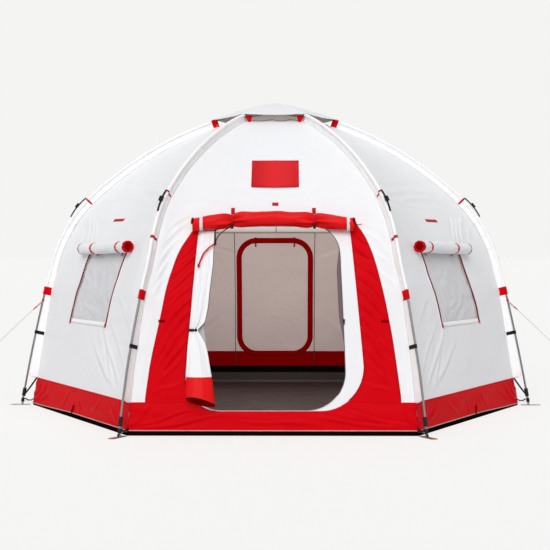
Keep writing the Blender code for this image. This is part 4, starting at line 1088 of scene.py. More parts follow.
def roll_points(side, along, height, radius, seat, sides=ROLL_SIDES, core=AWNING_RADIUS):
    """Grid of points round a roll: radius is (stations, sides), and the roll rests on the gore."""
    centre = on_gore(side, along, height, seat + core, wavy=0.0)
    tilt = gore_tilt(height)
    normal = turned_to(SIDES[side], np.cos(tilt), 0.0, np.sin(tilt))
    up = turned_to(SIDES[side], -np.sin(tilt), 0.0, np.cos(tilt))
    turn = around(sides)
    spoke = normal[:, None] * np.cos(turn)[:, None] - up[:, None] * np.sin(turn)[:, None]
    return centre[:, None] + spoke * radius[..., None]


def awning_drop(along):
    """Height of the roll's middle."""
    return AWNING_ROW - AWNING_DROOP * (along / AWNING_HALF) ** 2


def pinched(along, turn, full, waist, places, reach, seed, gathers=0.0140):
    """Radius of a roll drawn in at its ties, with gathers that fan out from each tie."""
    radius = np.full(np.broadcast(along, turn).shape, full)
    for place in places:
        away = along - place
        near = np.exp(-((away / reach) ** 2))
        phase = ROLL_WAVES * turn + 1.5 * np.sin(turn * 2 + seed) + seed + np.sign(away) * 0.9
        fan = np.sin(phase) + 0.5 * np.sin(1.7 * phase + 1.0)
        envelope = np.exp(-((away / (reach * 1.7)) ** 2)) * smooth(np.abs(away) / 0.022)
        radius = radius - (full - waist) * near + gathers * fan * envelope
    return radius


roll_red = cloth_finish("roll_red", (0.78, 0.006, 0.008), 0.45, blotch=0.08, crumple=0.0008, gloss=0.12)
stations = np.linspace(-AWNING_HALF, AWNING_HALF, 181)[:, None]
turn = around(ROLL_SIDES)
roll_radius = pinched(stations, turn, AWNING_RADIUS - 0.003, 0.043, (-TIE_OFFSET, TIE_OFFSET), 0.055, 1.3)
roll_radius = roll_radius + 0.0024 * ripple(stations * 0.8, turn * 0.12, 0.16, 31)
roll_radius = roll_radius - 0.009 * smooth((np.abs(stations) - 0.45) / 0.2)
roll_radius = np.minimum(roll_radius, AWNING_RADIUS + 0.004)
lines = stations[:, 0]
points = roll_points("front", lines, awning_drop(lines), roll_radius, AWNING_SEAT)
roll_chart = chart_of(stations, np.linspace(0, math.tau * AWNING_RADIUS, ROLL_SIDES + 1))
roll = add_piece(
    "awning_roll_cloth", grid_mesh("awning_roll_cloth", points, roll_chart, wrap=True, caps=True),
    "red_fabric", roll_red
)
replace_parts(roll, "door_awning_roll")


WEBBING_RIB = 0.0018


def webbing_finish(name, colour):
    """Woven webbing: ribs across the tape with a thread's grain."""
    finish = Finish(name, colour, 0.7, specular_ior_level=0.15)
    place = finish.node("ShaderNodeTexCoord", output="Object")
    ribs = finish.node(
        "ShaderNodeTexWave", {"bands_direction": "DIAGONAL"}, Vector=place, Scale=0.314 / WEBBING_RIB,
    )
    finish.feed("Normal", finish.bump(ribs, 0.0004, 0.7))
    finish.feed("Base Color", finish.mix(ribs * 0.35, colour, tuple(c * 0.55 for c in colour)))
    return finish.material


red_webbing = webbing_finish("red_webbing", (0.62, 0.002, 0.008))
white_webbing = webbing_finish("white_webbing", (0.85, 0.85, 0.86))
black_webbing = webbing_finish("black_webbing", (0.010, 0.010, 0.011))


def roll_band(name, side, middle, width, radius, seat, height, core, finish, slot, thickness=0.0025):
    """Strap round a roll: a short closed sleeve over its waist."""
    along = middle + np.array([-0.5, -0.5, -0.25, 0.0, 0.25, 0.5, 0.5]) * width
    grow = np.array(
        [-0.002, thickness, thickness + 0.0006, thickness + 0.0008, thickness + 0.0006, thickness, -0.002]
    )
    rings = roll_points(
        side, along, height + 0 * along, (radius + grow)[:, None] * np.ones(ROLL_SIDES), seat, core=core,
    )
    chart = chart_of(along[:, None], np.linspace(0, math.tau * radius, ROLL_SIDES + 1))
    return add_piece(name, grid_mesh(name, rings, chart, wrap=True), slot, finish)


for side, sign in (("left", -1), ("right", 1)):
    tie = roll_band(
        f"awning_strap_{side}", "front", sign * TIE_OFFSET, TIE_WIDTH, 0.0455, AWNING_SEAT,
        awning_drop(TIE_OFFSET), AWNING_RADIUS, red_webbing, "red_fabric",
    )
    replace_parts(tie, f"awning_tie_{side}")
    bound = -0.607 if sign < 0 else 0.632
    roll_band(
        f"awning_binding_{side}", "front", bound, 0.026, 0.0560, AWNING_SEAT,
        awning_drop(bound), AWNING_RADIUS, white_webbing, "white_webbing",
    )
    sewn_strip(
        f"awning_tab_{side}", "front", ((sign * TIE_OFFSET, 1.832), (sign * TIE_OFFSET, 1.888)), 0.032,
        "red_fabric", red_webbing, 0.0005, 0.003,
    )
    hold = on_gore("front", sign * TIE_OFFSET, 1.722, AWNING_SEAT + AWNING_RADIUS + 0.012)
    turned_part(
        f"awning_toggle_{side}", hold, (0.0, 0.0, 1.0), bead_profile(0.040, 0.013), "black_plastic",
        black_nylon, sides=18,
    )
    tip = roll_points(
        "front", np.array([sign * 0.672]), np.array([awning_drop(0.672)]), np.full((1, ROLL_SIDES), 0.058),
        AWNING_SEAT
    )[0]
    turned_part(
        f"awning_end_toggle_{side}", tip[0] + (sign * 0.008, 0.0, 0.004), (sign * 0.2, 0.0, -1.0),
        bead_profile(0.060, 0.011), "red_fabric", dark_red, sides=18,
    )
cord_line = on_gore("front", np.linspace(0.690, 0.752, 6), np.linspace(1.738, 1.744, 6), 0.030)
add_piece("awning_cord_end", line_curve("awning_cord_end", 0.0028, cord_line), "black_plastic", black_webbing)

# Door curtain
# The white inner curtain is gathered to the left and tied back. Above the tie it hangs from
# the door's head in long folds, below it spreads to a red hem whose inside is painted shade in dark red.
CURTAIN_SECTIONS = (
    (1.690, -0.618, -0.492, 0.014),
    (1.600, -0.620, -0.494, 0.026),
    (1.510, -0.622, -0.497, 0.031),
    (1.412, -0.624, -0.499, 0.034),
    (1.168, -0.654, -0.526, 0.040),
    (1.046, -0.672, -0.536, 0.044),
    (0.927, -0.688, -0.560, 0.044),
    (0.862, -0.692, -0.626, 0.034),
    (0.803, -0.697, -0.582, 0.050),
    (0.744, -0.701, -0.550, 0.070),
    (0.684, -0.705, -0.533, 0.084),
    (0.566, -0.709, -0.512, 0.104),
    (0.456, -0.713, -0.492, 0.116),
    (0.300, -0.716, -0.468, 0.128),
)
CURTAIN_TIE = 0.862
CURTAIN_ROWS = 150
CURTAIN_POINTS = 144
CURTAIN_FOOT, CURTAIN_HEAD = 0.300, 1.690
HEM_TOP = 0.484
EDGE_FIRST_ROW = 62
TIE_POINTS = 48
sections = np.array(CURTAIN_SECTIONS)[::-1]
curtain_z = np.linspace(CURTAIN_FOOT, CURTAIN_HEAD, CURTAIN_ROWS + 1)[:, None]
left_x, right_x, deep = (np.interp(curtain_z, sections[:, 0], sections[:, k]) for k in (1, 2, 3))
for _ in range(3):
    left_x, right_x, deep = (
        np.concatenate([v[:1], (v[:-2] + 2 * v[1:-1] + v[2:]) / 4, v[-1:]]) for v in (left_x, right_x, deep)
    )
turn = around(CURTAIN_POINTS)
from_tie = np.abs(curtain_z - CURTAIN_TIE)
gather = 0.19 + 0.12 * np.exp(-((from_tie / 0.10) ** 2)) + 0.06 * smooth((curtain_z - CURTAIN_TIE) / 0.05)
drift = 0.35 * np.sin(curtain_z * 5.0) + 0.25 * np.sin(curtain_z * 11.0 + 1.0)
folds = 0.5 + 0.5 * np.cos(7 * turn + drift) + 0.25 * np.cos(12 * turn - 2.2 * curtain_z)
calm = 0.15 + 0.85 * smooth((curtain_z - 0.38) / 0.30)
shrink = 1 - gather * folds * calm * np.where(curtain_z < CURTAIN_TIE, 0.55, 1.0)
standoff = 0.0006 + 0.0124 * np.clip((CURTAIN_HEAD - curtain_z) / 0.18, 0, 1)
x = (left_x + right_x) / 2 + (right_x - left_x) / 2 * np.cos(turn) * shrink
panel_y = on_gore("front", x, curtain_z + 0 * x, standoff, wavy=0.0)[..., 1]
y = panel_y - deep / 2 * (1 + np.sin(turn)) * shrink
near_hem = 1 - smooth((curtain_z - CURTAIN_FOOT) / 0.16)
sideways = (x - left_x) / (right_x - left_x)
droop = near_hem * (0.007 - 0.058 * sideways + 0.036 * np.sin(turn))
curtain_points = np.stack([x, y, curtain_z + droop], axis=-1)[:, ::-1]
curtain_chart = chart_of(np.linspace(0, 0.9, CURTAIN_POINTS + 1), curtain_z)
curtain_cloth = cloth_finish("curtain_cloth", (0.89, 0.89, 0.905), 0.7, blotch=0.02)
curtain = add_piece(
    "curtain_cloth", grid_mesh("curtain_cloth", curtain_points, curtain_chart, wrap=True),
    "white_canopy", curtain_cloth, roll_red, curtain_cloth, dark_red,
)
hem_rows = int(np.searchsorted(curtain_z[:, 0], HEM_TOP))
for number, face in enumerate(curtain.data.polygons):
    face.material_index = int(number // CURTAIN_POINTS < hem_rows)
# The back of the red hem takes the dark red: painted shade inside the hem's tube.
thicken(curtain, inner=2)
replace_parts(curtain, "door_curtain")
curtain_edge = np.stack([x.max(axis=1), y[:, 0] - 0.004, curtain_z[:, 0]], axis=-1)[EDGE_FIRST_ROW:]
grey_binding_and_shadow = cloth_finish("grey_binding_and_shadow", (0.14, 0.125, 0.125), 0.6, blotch=0.1, gloss=0.2)
add_piece(
    "curtain_edge", line_curve("curtain_edge", 0.0042, curtain_edge), "mesh_fabric",
    webbing_finish("edge_tape", (0.13, 0.115, 0.115)),
)
tie_left, tie_right = (float(np.interp(CURTAIN_TIE, sections[:, 0], sections[:, k])) for k in (1, 2))
tie_turn = around(TIE_POINTS)
tie_rows = CURTAIN_TIE + np.array([-0.011, -0.011, 0.0, 0.011, 0.011])[:, None]
tie_grow = np.array([-0.003, 0.0015, 0.002, 0.0015, -0.003])[:, None]
tie_middle = (tie_left + tie_right) / 2
tie_points_x = tie_middle + ((tie_right - tie_left) / 2 + tie_grow) * np.cos(tie_turn)
tie_panel_y = on_gore("front", tie_points_x, tie_rows, 0.012, wavy=0.0)[..., 1]
tie_points = np.stack(
    [tie_points_x, tie_panel_y - (0.018 + tie_grow) * (1 + np.sin(tie_turn)), tie_rows + 0 * tie_points_x],
    axis=-1
)[:, ::-1]
tie_chart = chart_of(np.linspace(0, 0.14, TIE_POINTS + 1), tie_rows)
add_piece(
    "curtain_tie", grid_mesh("curtain_tie", tie_points, tie_chart, wrap=True), "black_plastic", black_webbing
)
turned_part(
    "curtain_toggle", (tie_middle - 0.006, float(tie_panel_y.min()) - 0.040, CURTAIN_TIE), (1.0, 0.0, 0.08),
    bead_profile(0.042, 0.008), "black_plastic", black_nylon, sides=18,
)
sewn_strip(
    "door_tie_tape", "front",
    ((-0.487, 1.580), (-0.542, 1.541), (-0.584, 1.492), (-0.612, 1.424), (-0.622, 1.396)),
    0.013, "red_fabric", red_webbing, 0.050, 0.003, arch=0.012,
)
for name, along, height, out, length, size, part_slot, part_finish in (
    ("door_tape_bead", -0.487, 1.585, 0.046, 0.046, 0.009, "black_plastic", black_nylon),
    ("door_tie_knot", -0.622, 1.394, 0.054, 0.030, 0.010, "red_fabric", red_webbing),
):
    turned_part(
        name, on_gore("front", along, height, out), (0.0, 0.0, 1.0), bead_profile(length, size), part_slot,
        part_finish,
        sides=18,
    )
for number, line in enumerate((
    ((-0.492, 1.700), (-0.490, 1.640), (-0.487, 1.590)),
    ((-0.352, 1.722), (-0.388, 1.708), (-0.421, 1.686), (-0.450, 1.660), (-0.470, 1.634), (-0.486, 1.592)),
)):
    sewn_strip(f"door_tape_{number}", "front", line, 0.009, "black_plastic", black_webbing, 0.030, 0.002)
right_path = sorted((p for p in DOOR if p[0] > 0 and p[1] > 0.30), key=lambda p: p[1])
left_path = sorted((p for p in DOOR if p[0] < 0 and p[1] > 0.30), key=lambda p: -p[1])
sill_path = sorted((p for p in DOOR if p[1] <= 0.34), key=lambda p: p[0])
# The binding along the door's edge is dark grey, partly its own colour and partly painted shadow beside the
# edge.
sewn_strip("door_binding", "front", right_path + left_path, 0.006, "mesh_fabric", grey_binding_and_shadow, 0.0, 0.003)
sewn_strip("door_sill_edge", "front", sill_path, 0.006, "white_webbing", white_webbing, 0.0, 0.0035)
# The storm flap at the door's right edge lies in the opening's shade; its dark grey is painted shade.
flap_painted_shade = cloth_finish("flap_painted_shade", (0.175, 0.130, 0.135), 0.8, blotch=0.12, gloss=0.1)
flap_z = np.linspace(0.70, 1.62, 60)[:, None]
flap_width = 0.036 * smooth((1.62 - flap_z) / 0.30) * smooth((flap_z - 0.68) / 0.35) + 0.003
door_edge = np.interp(flap_z, [z for x, z in right_path], [x for x, z in right_path])
flap_x = door_edge + 0.004 - flap_width * np.linspace(0, 1, 6)[::-1]
flap_points = on_gore("front", flap_x, flap_z, -0.0045 + 0.004 * np.sin(np.linspace(0, math.pi, 6)))
flap_chart = chart_of(flap_x, flap_z)
flap = add_piece("door_flap", grid_mesh("door_flap", flap_points, flap_chart), "mesh_fabric", flap_painted_shade)
thicken(flap, 0.001)
gathered_net = cloth_finish("gathered_net", (0.52, 0.50, 0.52), 0.8, blotch=0.05)
sewn_strip(
    "curtain_net", "front",
    ((-0.575, 1.050), (-0.588, 0.940), (-0.600, 0.860), (-0.590, 0.800), (-0.578, 0.740)),
    0.056, "mesh_fabric", gathered_net, 0.003, 0.002,
)

# Windows
# Fine pale grey netting is sewn behind each window. Red zips close its blind, which is rolled up
# above it, bound in red at its ends and held by two thin red ties.
BLIND_HEIGHT = 1.555
BLIND_RADIUS = 0.0525
BLIND_BACK, BLIND_FRONT = -0.465, 0.618
BLIND_TIES = (-0.18, 0.43)
BLIND_SLOPE = 0.018
BLIND_SEAT = 0.0016
ZIP_EDGE = 0.012
ZIP_FOOT, ZIP_HEAD = 0.846, 1.505
# Profiles of the blinds' gathered end disc and end ring: (distance out, radius)
DISC_PROFILE = (
    (-0.012, 0.030), (-0.012, 0.0515), (0.0185, 0.0520), (0.0225, 0.0490), (0.0215, 0.0420),
    (0.0145, 0.0330), (0.0065, 0.0230), (0.0020, 0.0130), (0.0012, 0.003),
)
RING_PROFILE = (
    (-0.010, 0.048), (-0.010, 0.0530), (0.0, 0.0536), (0.005, 0.0510), (0.006, 0.046), (0.0055, 0.004),
)
# Whiter cloth for the window tapes and sill; the pole sleeves take it too, as a lighter copy of the canopy
# cloth that is painted light.
bright_cloth = cloth_finish("bright_cloth", (0.965, 0.965, 0.97), 0.6, blotch=0.015)


def blind_height(along):
    """Height of a blind's roll, which hangs lower towards the middle poles."""
    share = (np.asarray(along) - BLIND_BACK) / (BLIND_FRONT - BLIND_BACK)
    return BLIND_HEIGHT - BLIND_SLOPE * (1 - share)


zip_red = cloth_finish("zip_red", (0.22, 0.001, 0.006), 0.6, thread=0.003, blotch=0.1, gloss=0.03)
netting = cloth_finish("window_netting", (0.71, 0.71, 0.735), 0.9, thread=0.0022, blotch=0.09)
disc_red = cloth_finish("disc_red", (0.55, 0.001, 0.006), 0.5, blotch=0.2, gloss=0.06)
for side, mirror in (("front_left", 1), ("front_right", -1)):
    angle = SIDES[side]
    across = np.linspace(-0.62, 0.62, 90)
    heights = np.linspace(0.84, 1.53, 80)[:, None]
    sunk = 0.0040 * ripple(across, heights, 0.3, 91) + 0.0015 * ripple(across, heights, 0.11, 92)
    slack = np.sin(math.pi * np.clip((heights - 0.85) / 0.66, 0, 1)) ** 0.5
    slack = slack * np.clip(1 - (across / 0.6) ** 2, 0, 1)
    waves = np.sin((across * mirror * 0.9 + heights) * 21.0 + 3.0 * sunk / 0.004)
    points = on_gore(side, across, heights, -0.0090 + 0.3 * sunk + 0.0042 * slack * waves)
    chart = chart_of(across, heights)
    lap = [(-0.490, 0.850), (0.419, 0.850), (0.455, 1.07), (0.499, 1.21), (0.516, 1.520), (-0.374, 1.520)]
    lap = [(mirror * x, z) for x, z in lap[::mirror]]
    net_mesh = cut_out(grid_mesh(f"window_net_{side}", points, chart), angle, [lap], keep=True)
    net = thicken(add_piece(f"window_net_{side}", net_mesh, "mesh_fabric", netting), 0.0008)
    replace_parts(net, f"window_mesh_{side}")

    middle, half = mirror * (BLIND_FRONT + BLIND_BACK) / 2, (BLIND_FRONT - BLIND_BACK) / 2
    along = np.linspace(-half, half, 121)[:, None]
    turn = around(ROLL_SIDES)
    ties = [mirror * place - middle for place in BLIND_TIES]
    radius = pinched(along, turn, BLIND_RADIUS - 0.001, 0.045, ties, 0.03, 0.4, 0.003)
    radius = radius + 0.0012 * ripple(along * 0.7, turn * 0.1, 0.14, 51)
    lines = middle + along[:, 0]
    points = roll_points(side, lines, blind_height(lines * mirror), radius, BLIND_SEAT, core=BLIND_RADIUS)
    chart = chart_of(along, np.linspace(0, math.tau * BLIND_RADIUS, ROLL_SIDES + 1))
    name = f"blind_roll_{side}"
    blind = add_piece(name, grid_mesh(name, points, chart, wrap=True, caps=True), "white_canopy", white_cloth)
    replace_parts(blind, f"window_blind_{side}")
    end_lines = np.array([middle - half, middle + half])
    ends = roll_points(
        side, end_lines, blind_height(end_lines * mirror), np.zeros((2, 1)), BLIND_SEAT, sides=1,
        core=BLIND_RADIUS
    )[:, 0]
    far_end, door_end = ends[::mirror]
    outwards = Vector(door_end - far_end).normalized()
    disc = turned_part(
        f"blind_disc_{side}", door_end, outwards,
        DISC_PROFILE, "red_fabric", disc_red, sides=72, gathers=0.0030,
    )
    # Faces near the disc's middle take the dark red: painted shade in its gathered hollow.
    disc.data.materials.append(dark_red)
    for face in disc.data.polygons:
        face.material_index = int((face.center - Vector(door_end)).length < 0.0365)
    turned_part(
        f"blind_ring_{side}", far_end, -outwards,
        RING_PROFILE, "red_fabric", dark_red, sides=48,
    )
    for word, tie in zip(("back", "front"), BLIND_TIES):
        place = mirror * tie
        roll_band(
            f"blind_tie_{side}_{word}", side, place, 0.030, 0.0475, BLIND_SEAT, blind_height(tie),
            BLIND_RADIUS,
            red_webbing, "red_fabric", 0.0026,
        )
        for letter, lean in (("a", -1), ("b", 1)):
            sewn_strip(
                f"blind_tail_{side}_{word}_{letter}", side,
                ((place + lean * 0.002, 1.514), (place + lean * 0.010, 1.496), (place + lean * 0.022, 1.474)),
                0.014, "red_fabric", red_webbing, 0.006, 0.002,
            )
    for word, column, edge, zip_width in (("rear", 0, -ZIP_EDGE, 0.034), ("front", 1, ZIP_EDGE, 0.024)):
        line = [(row[column], row[2]) for row in WINDOW_EDGES]
        foot_x = line[0][0] - (line[1][0] - line[0][0]) * 0.08
        line = [(foot_x, ZIP_FOOT)] + line[1:]
        steps = np.linspace(ZIP_FOOT, ZIP_HEAD, 24)
        bent = [float(np.interp(z, [p[1] for p in line], [p[0] for p in line])) for z in steps]
        for _ in range(4):
            bent = bent[:1] + [(a + 2 * b + c) / 4 for a, b, c in zip(bent, bent[1:], bent[2:])] + bent[-1:]
        zip_line = [(mirror * (x + edge), z) for x, z in zip(bent, steps)]
        tape_line = [(mirror * (x + edge * 1.1), z) for x, z in zip(bent, steps)]
        sewn_strip(
            f"window_tape_{side}_{word}", side, tape_line, 0.046, "white_webbing", bright_cloth, 0.0002,
            0.0008,
        )
        sewn_strip(
            f"window_zip_{side}_{word}", side, zip_line, zip_width, "red_fabric", zip_red, 0.0014, 0.0024,
        )
    sill_line = ((mirror * -0.462, 0.866), (mirror * 0.396, 0.866))
    sewn_strip(f"window_sill_{side}", side, sill_line, 0.044, "white_webbing", bright_cloth, 0.0010, 0.0008)

# Rear door
# The back gore has a closed door leaf of the same cloth. Inside, its zip and storm flap show
# as a broad dark-red ring round the leaf.
rear_across = np.linspace(-0.5, 0.5, 91)
rear_height = np.linspace(0.31, 1.68, 130)[:, None]
rear_points = on_gore("rear", rear_across, rear_height, -0.0002)
rear_chart = chart_of(rear_across, rear_height)
leaf_mesh = cut_out(
    grid_mesh("rear_door_leaf", rear_points, rear_chart), SIDES["rear"], [REAR_DOOR], keep=True,
)
leaf = thicken(add_piece("rear_door_leaf", leaf_mesh, "white_canopy", white_cloth, lining), inner=1)
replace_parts(leaf, "rear_door")

REAR_RING = rounded(((-0.387, 0.346), (0.421, 0.346), (0.421, 1.639), (-0.387, 1.639)), (0.20,) * 4)
sewn_strip("rear_door_ring", "rear", REAR_RING, 0.060, "red_fabric", dark_red, -0.0034, -0.0014, closed=True)
sewn_strip(
    "rear_zip_cover", "rear", REAR_RING, 0.030, "white_webbing", white_cloth, 0.0010, 0.0014, closed=True,
)
for number, along in enumerate((-0.204, 0.231)):
    sewn_strip(
        f"rear_tie_{number}", "rear", ((along, 1.567), (along, 1.676)), 0.018, "red_fabric", dark_red,
        -0.0050, -0.0020
    )
seam_tape = cloth_finish("seam_tape", (0.040, 0.033, 0.032), 0.8, blotch=0.1, gloss=0.0)
short_line = ((0.0, 1.735), (0.0, 1.795))
sewn_strip("rear_short_seam", "rear", short_line, 0.007, "mesh_fabric", seam_tape, -0.0050, -0.001)
pale_tape = cloth_finish("pale_tape", (0.80, 0.78, 0.78), 0.8, blotch=0.03)
for number, along in enumerate((-0.434, 0.469)):
    sewn_strip(
        f"rear_seam_{number}", "rear", ((along, 0.20), (along, 1.72)), 0.007, "mesh_fabric", seam_tape,
        -0.0040, -0.001,
    )
INNER_SEAM_HALF = 1.0
for side in ("rear_left", "rear", "rear_right"):
    for word, level, width, tape_slot, tape in (
        ("strip", 1.763, 0.052, "white_webbing", pale_tape),
        ("seam", 1.725, 0.007, "mesh_fabric", seam_tape),
    ):
        line = ((-INNER_SEAM_HALF, level), (INNER_SEAM_HALF, level))
        sewn_strip(f"inner_{word}_{side}", side, line, width, tape_slot, tape, -0.003, -0.001)

# Pole sleeves
# A doubled fin of canopy cloth stands on each ridge and holds the bow in a tube from the top
# of its foot section to the vent. Below that the fin runs on beside the bare pole to the band.
SLEEVE_RADIUS = 0.0158
WEB_HALF = 0.0016
FIN_COLUMNS = 9
FIN_START = -0.03
WEB_COLUMNS = 7
ARC_COLUMNS = 18


def sleeve_points(arc, rib_angle, radius, seed):
    """Grid of points up the rib and round the section: up one web face, round the tube, down the other."""
    middle, lean = bow_at(arc)
    out = leaning(lean)
    web = np.linspace(FIN_START, 1.0, WEB_COLUMNS)
    reach = RIDGE_DEPTH - radius * 0.99
    place = np.concatenate([web * reach, np.zeros(ARC_COLUMNS), web[::-1] * reach])
    sidew = np.concatenate(
        [np.full(WEB_COLUMNS, WEB_HALF), np.zeros(ARC_COLUMNS), np.full(WEB_COLUMNS, -WEB_HALF)]
    )
    first = math.asin(WEB_HALF / radius)
    turn = np.linspace(first, math.tau - first, ARC_COLUMNS)
    span = slice(WEB_COLUMNS, WEB_COLUMNS + ARC_COLUMNS)
    place[span] = RIDGE_DEPTH - radius * np.cos(turn)
    sidew[span] = radius * np.sin(turn)
    bend = np.sin(math.pi * np.clip(place / reach, 0, 1)) * (np.clip(place / reach, 0, 1) < 1)
    slow, quick, shift, patches = (
        ripple(arc, 0 * arc, length, seed + number)[:, None]
        for length, number in ((0.22, 0), (0.06, 1), (0.4, 2), (0.35, 4))
    )
    wobble = 0.0022 * slow + 0.0012 * quick
    pucker = np.sin(math.tau * (arc[:, None] + 0.7 * place) / 0.055 + 2.0 * shift)
    patchy = smooth(0.5 + 0.6 * patches)
    flare = 0.0045 * np.clip(1 - place / 0.012, 0, 1) ** 2 * np.sign(sidew)
    sidew = sidew + bend * (wobble + 0.0016 * pucker * patchy) + flare * (place < 0.013)
    depth = place - RIDGE_DEPTH
    outwards = middle[:, :1] + out[:, :1] * depth
    up = middle[:, 1:] + out[:, 1:] * depth
    points = turned_to(rib_angle, outwards, sidew, up)
    chart = chart_of(np.linspace(0, 0.2, place.size), arc[:, None])
    return points, chart


leg_arc, rim_arc = BOW_ARC[LEG_TOP], BOW_ARC[RIM]
for number, (rib, angle) in enumerate(RIBS.items()):
    arc = np.linspace(leg_arc, rim_arc, 330)
    points, chart = sleeve_points(arc, angle, SLEEVE_RADIUS, 200 + number * 3)
    upper = grid_mesh("sleeve_upper", points[:, ::-1], chart[:, ::-1])

    low_arc = np.linspace(0.27, leg_arc - 0.004, 60)
    middle, lean = bow_at(low_arc)
    slope = (RIDGE[1, 0] - RIDGE[0, 0]) / RIDGE[1, 1]
    reach = (middle[:, 0] - RIDGE[0, 0] - slope * middle[:, 1]) / (np.cos(lean) - slope * np.sin(lean))
    tip = smooth((low_arc - 0.25) / 0.045)
    width = (reach - TUBE_RADIUS - 0.002) * (0.22 + 0.78 * tip)
    share = np.concatenate([np.linspace(FIN_START, 1, FIN_COLUMNS), np.linspace(1, FIN_START, FIN_COLUMNS)])
    face = np.repeat([1.0, -1.0], FIN_COLUMNS)
    distance = -reach[:, None] + share * width[:, None]
    outwards = middle[:, :1] + np.cos(lean)[:, None] * distance
    up = middle[:, 1:] + np.sin(lean)[:, None] * distance
    bend = np.sin(math.pi * share) * 0.0020 * ripple(low_arc, low_arc * 0, 0.2, 300 + number)[:, None]
    points = turned_to(angle, outwards, face * 0.0011 + bend, up)
    chart = chart_of(share * 0.08, low_arc[:, None])
    lower = grid_mesh("sleeve_lower", points[:, ::-1], chart[:, ::-1])
    cloth = joined("sleeve", [upper, lower])
    # The fin is of canopy cloth, drawn in the whiter copy of it: painted light.
    sleeve = thicken(add_piece(f"sleeve_{rib}", cloth, "white_canopy", bright_cloth), 0.0009)
    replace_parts(sleeve, f"pole_sleeve_{rib}")

# Straps and tabs on the bows
# Red patches strengthen both ends of each sleeve and its middle. A black strap with a ladder
# buckle tensions it at the shoulder, and a hook-and-loop tape holds the fin to the pole.
TAB_RADIUS = SLEEVE_RADIUS + 0.0018


def rib_wrap(name, rib, low, high, radius, depth, slot, finish, half=0.0036, thick=0.0014):
    """Cloth folded round a bow and down both faces of its fin, between two arc lengths."""
    arc = np.linspace(low, high, 8)
    middle, lean = bow_at(arc)
    fin = np.linspace(0.0, 1.0, 5)
    first = math.asin(half / radius)
    turn = np.linspace(first, math.tau - first, 22)
    flat = -depth + fin * (depth - radius * math.cos(first))
    reach = np.concatenate([flat[:-1], -radius * np.cos(turn), flat[-2::-1]])
    aside = np.concatenate([np.full(4, half), radius * np.sin(turn), np.full(4, -half)])
    outwards = middle[:, :1] + np.cos(lean)[:, None] * reach
    up = middle[:, 1:] + np.sin(lean)[:, None] * reach
    points = turned_to(RIBS[rib], outwards, aside, up)[:, ::-1]
    chart = chart_of(np.linspace(0, 0.15, reach.size), arc[:, None])
    return thicken(add_piece(name, grid_mesh(name, points, chart), slot, finish), thick)


def plane_tape(name, angle, line, width, slot, finish, thick=0.0018, aside=0.0, body="tent"):
    """Flat tape along a line of (outwards, up) points in the plane of a rib."""
    line = np.array(line, float)
    run = np.gradient(line, axis=0)
    run /= np.linalg.norm(run, axis=-1, keepdims=True)
    square = np.stack([run[:, 1], -run[:, 0]], axis=-1)
    share = np.array([-1.0, -1.0, -0.6, 0.0, 0.6, 1.0, 1.0])
    rise = thick * np.array([0.0, 0.75, 1.0, 1.0, 1.0, 0.75, 0.0])
    spot = line[:, None] + square[:, None] * rise[:, None]
    points = turned_to(angle, spot[..., 0], aside + share * width / 2, spot[..., 1])
    travel = travelled(line)
    chart = chart_of(np.append(share, -1.0) * width / 2, travel[:, None])
    return add_piece(name, grid_mesh(name, points, chart, wrap=True, caps=True), slot, finish, body=body)


def beside_bow(stations, count=16):
    """Points (outwards, up) at distances out from a bow, through (arc, distance) stations."""
    arc, away = np.array(stations).T
    at = np.linspace(arc[0], arc[-1], count)
    middle, lean = bow_at(at)
    return middle + leaning(lean) * np.interp(at, arc, away)[:, None]


label_red = cloth_finish("label_red", (0.50, 0.024, 0.024), 0.6, thread=0.001, blotch=0.1, gloss=0.1)
orange_rubber = moulded("orange_rubber", (0.50, 0.15, 0.045), 0.6)
link_steel = metal("link_steel", (0.62, 0.62, 0.62), 0.3)
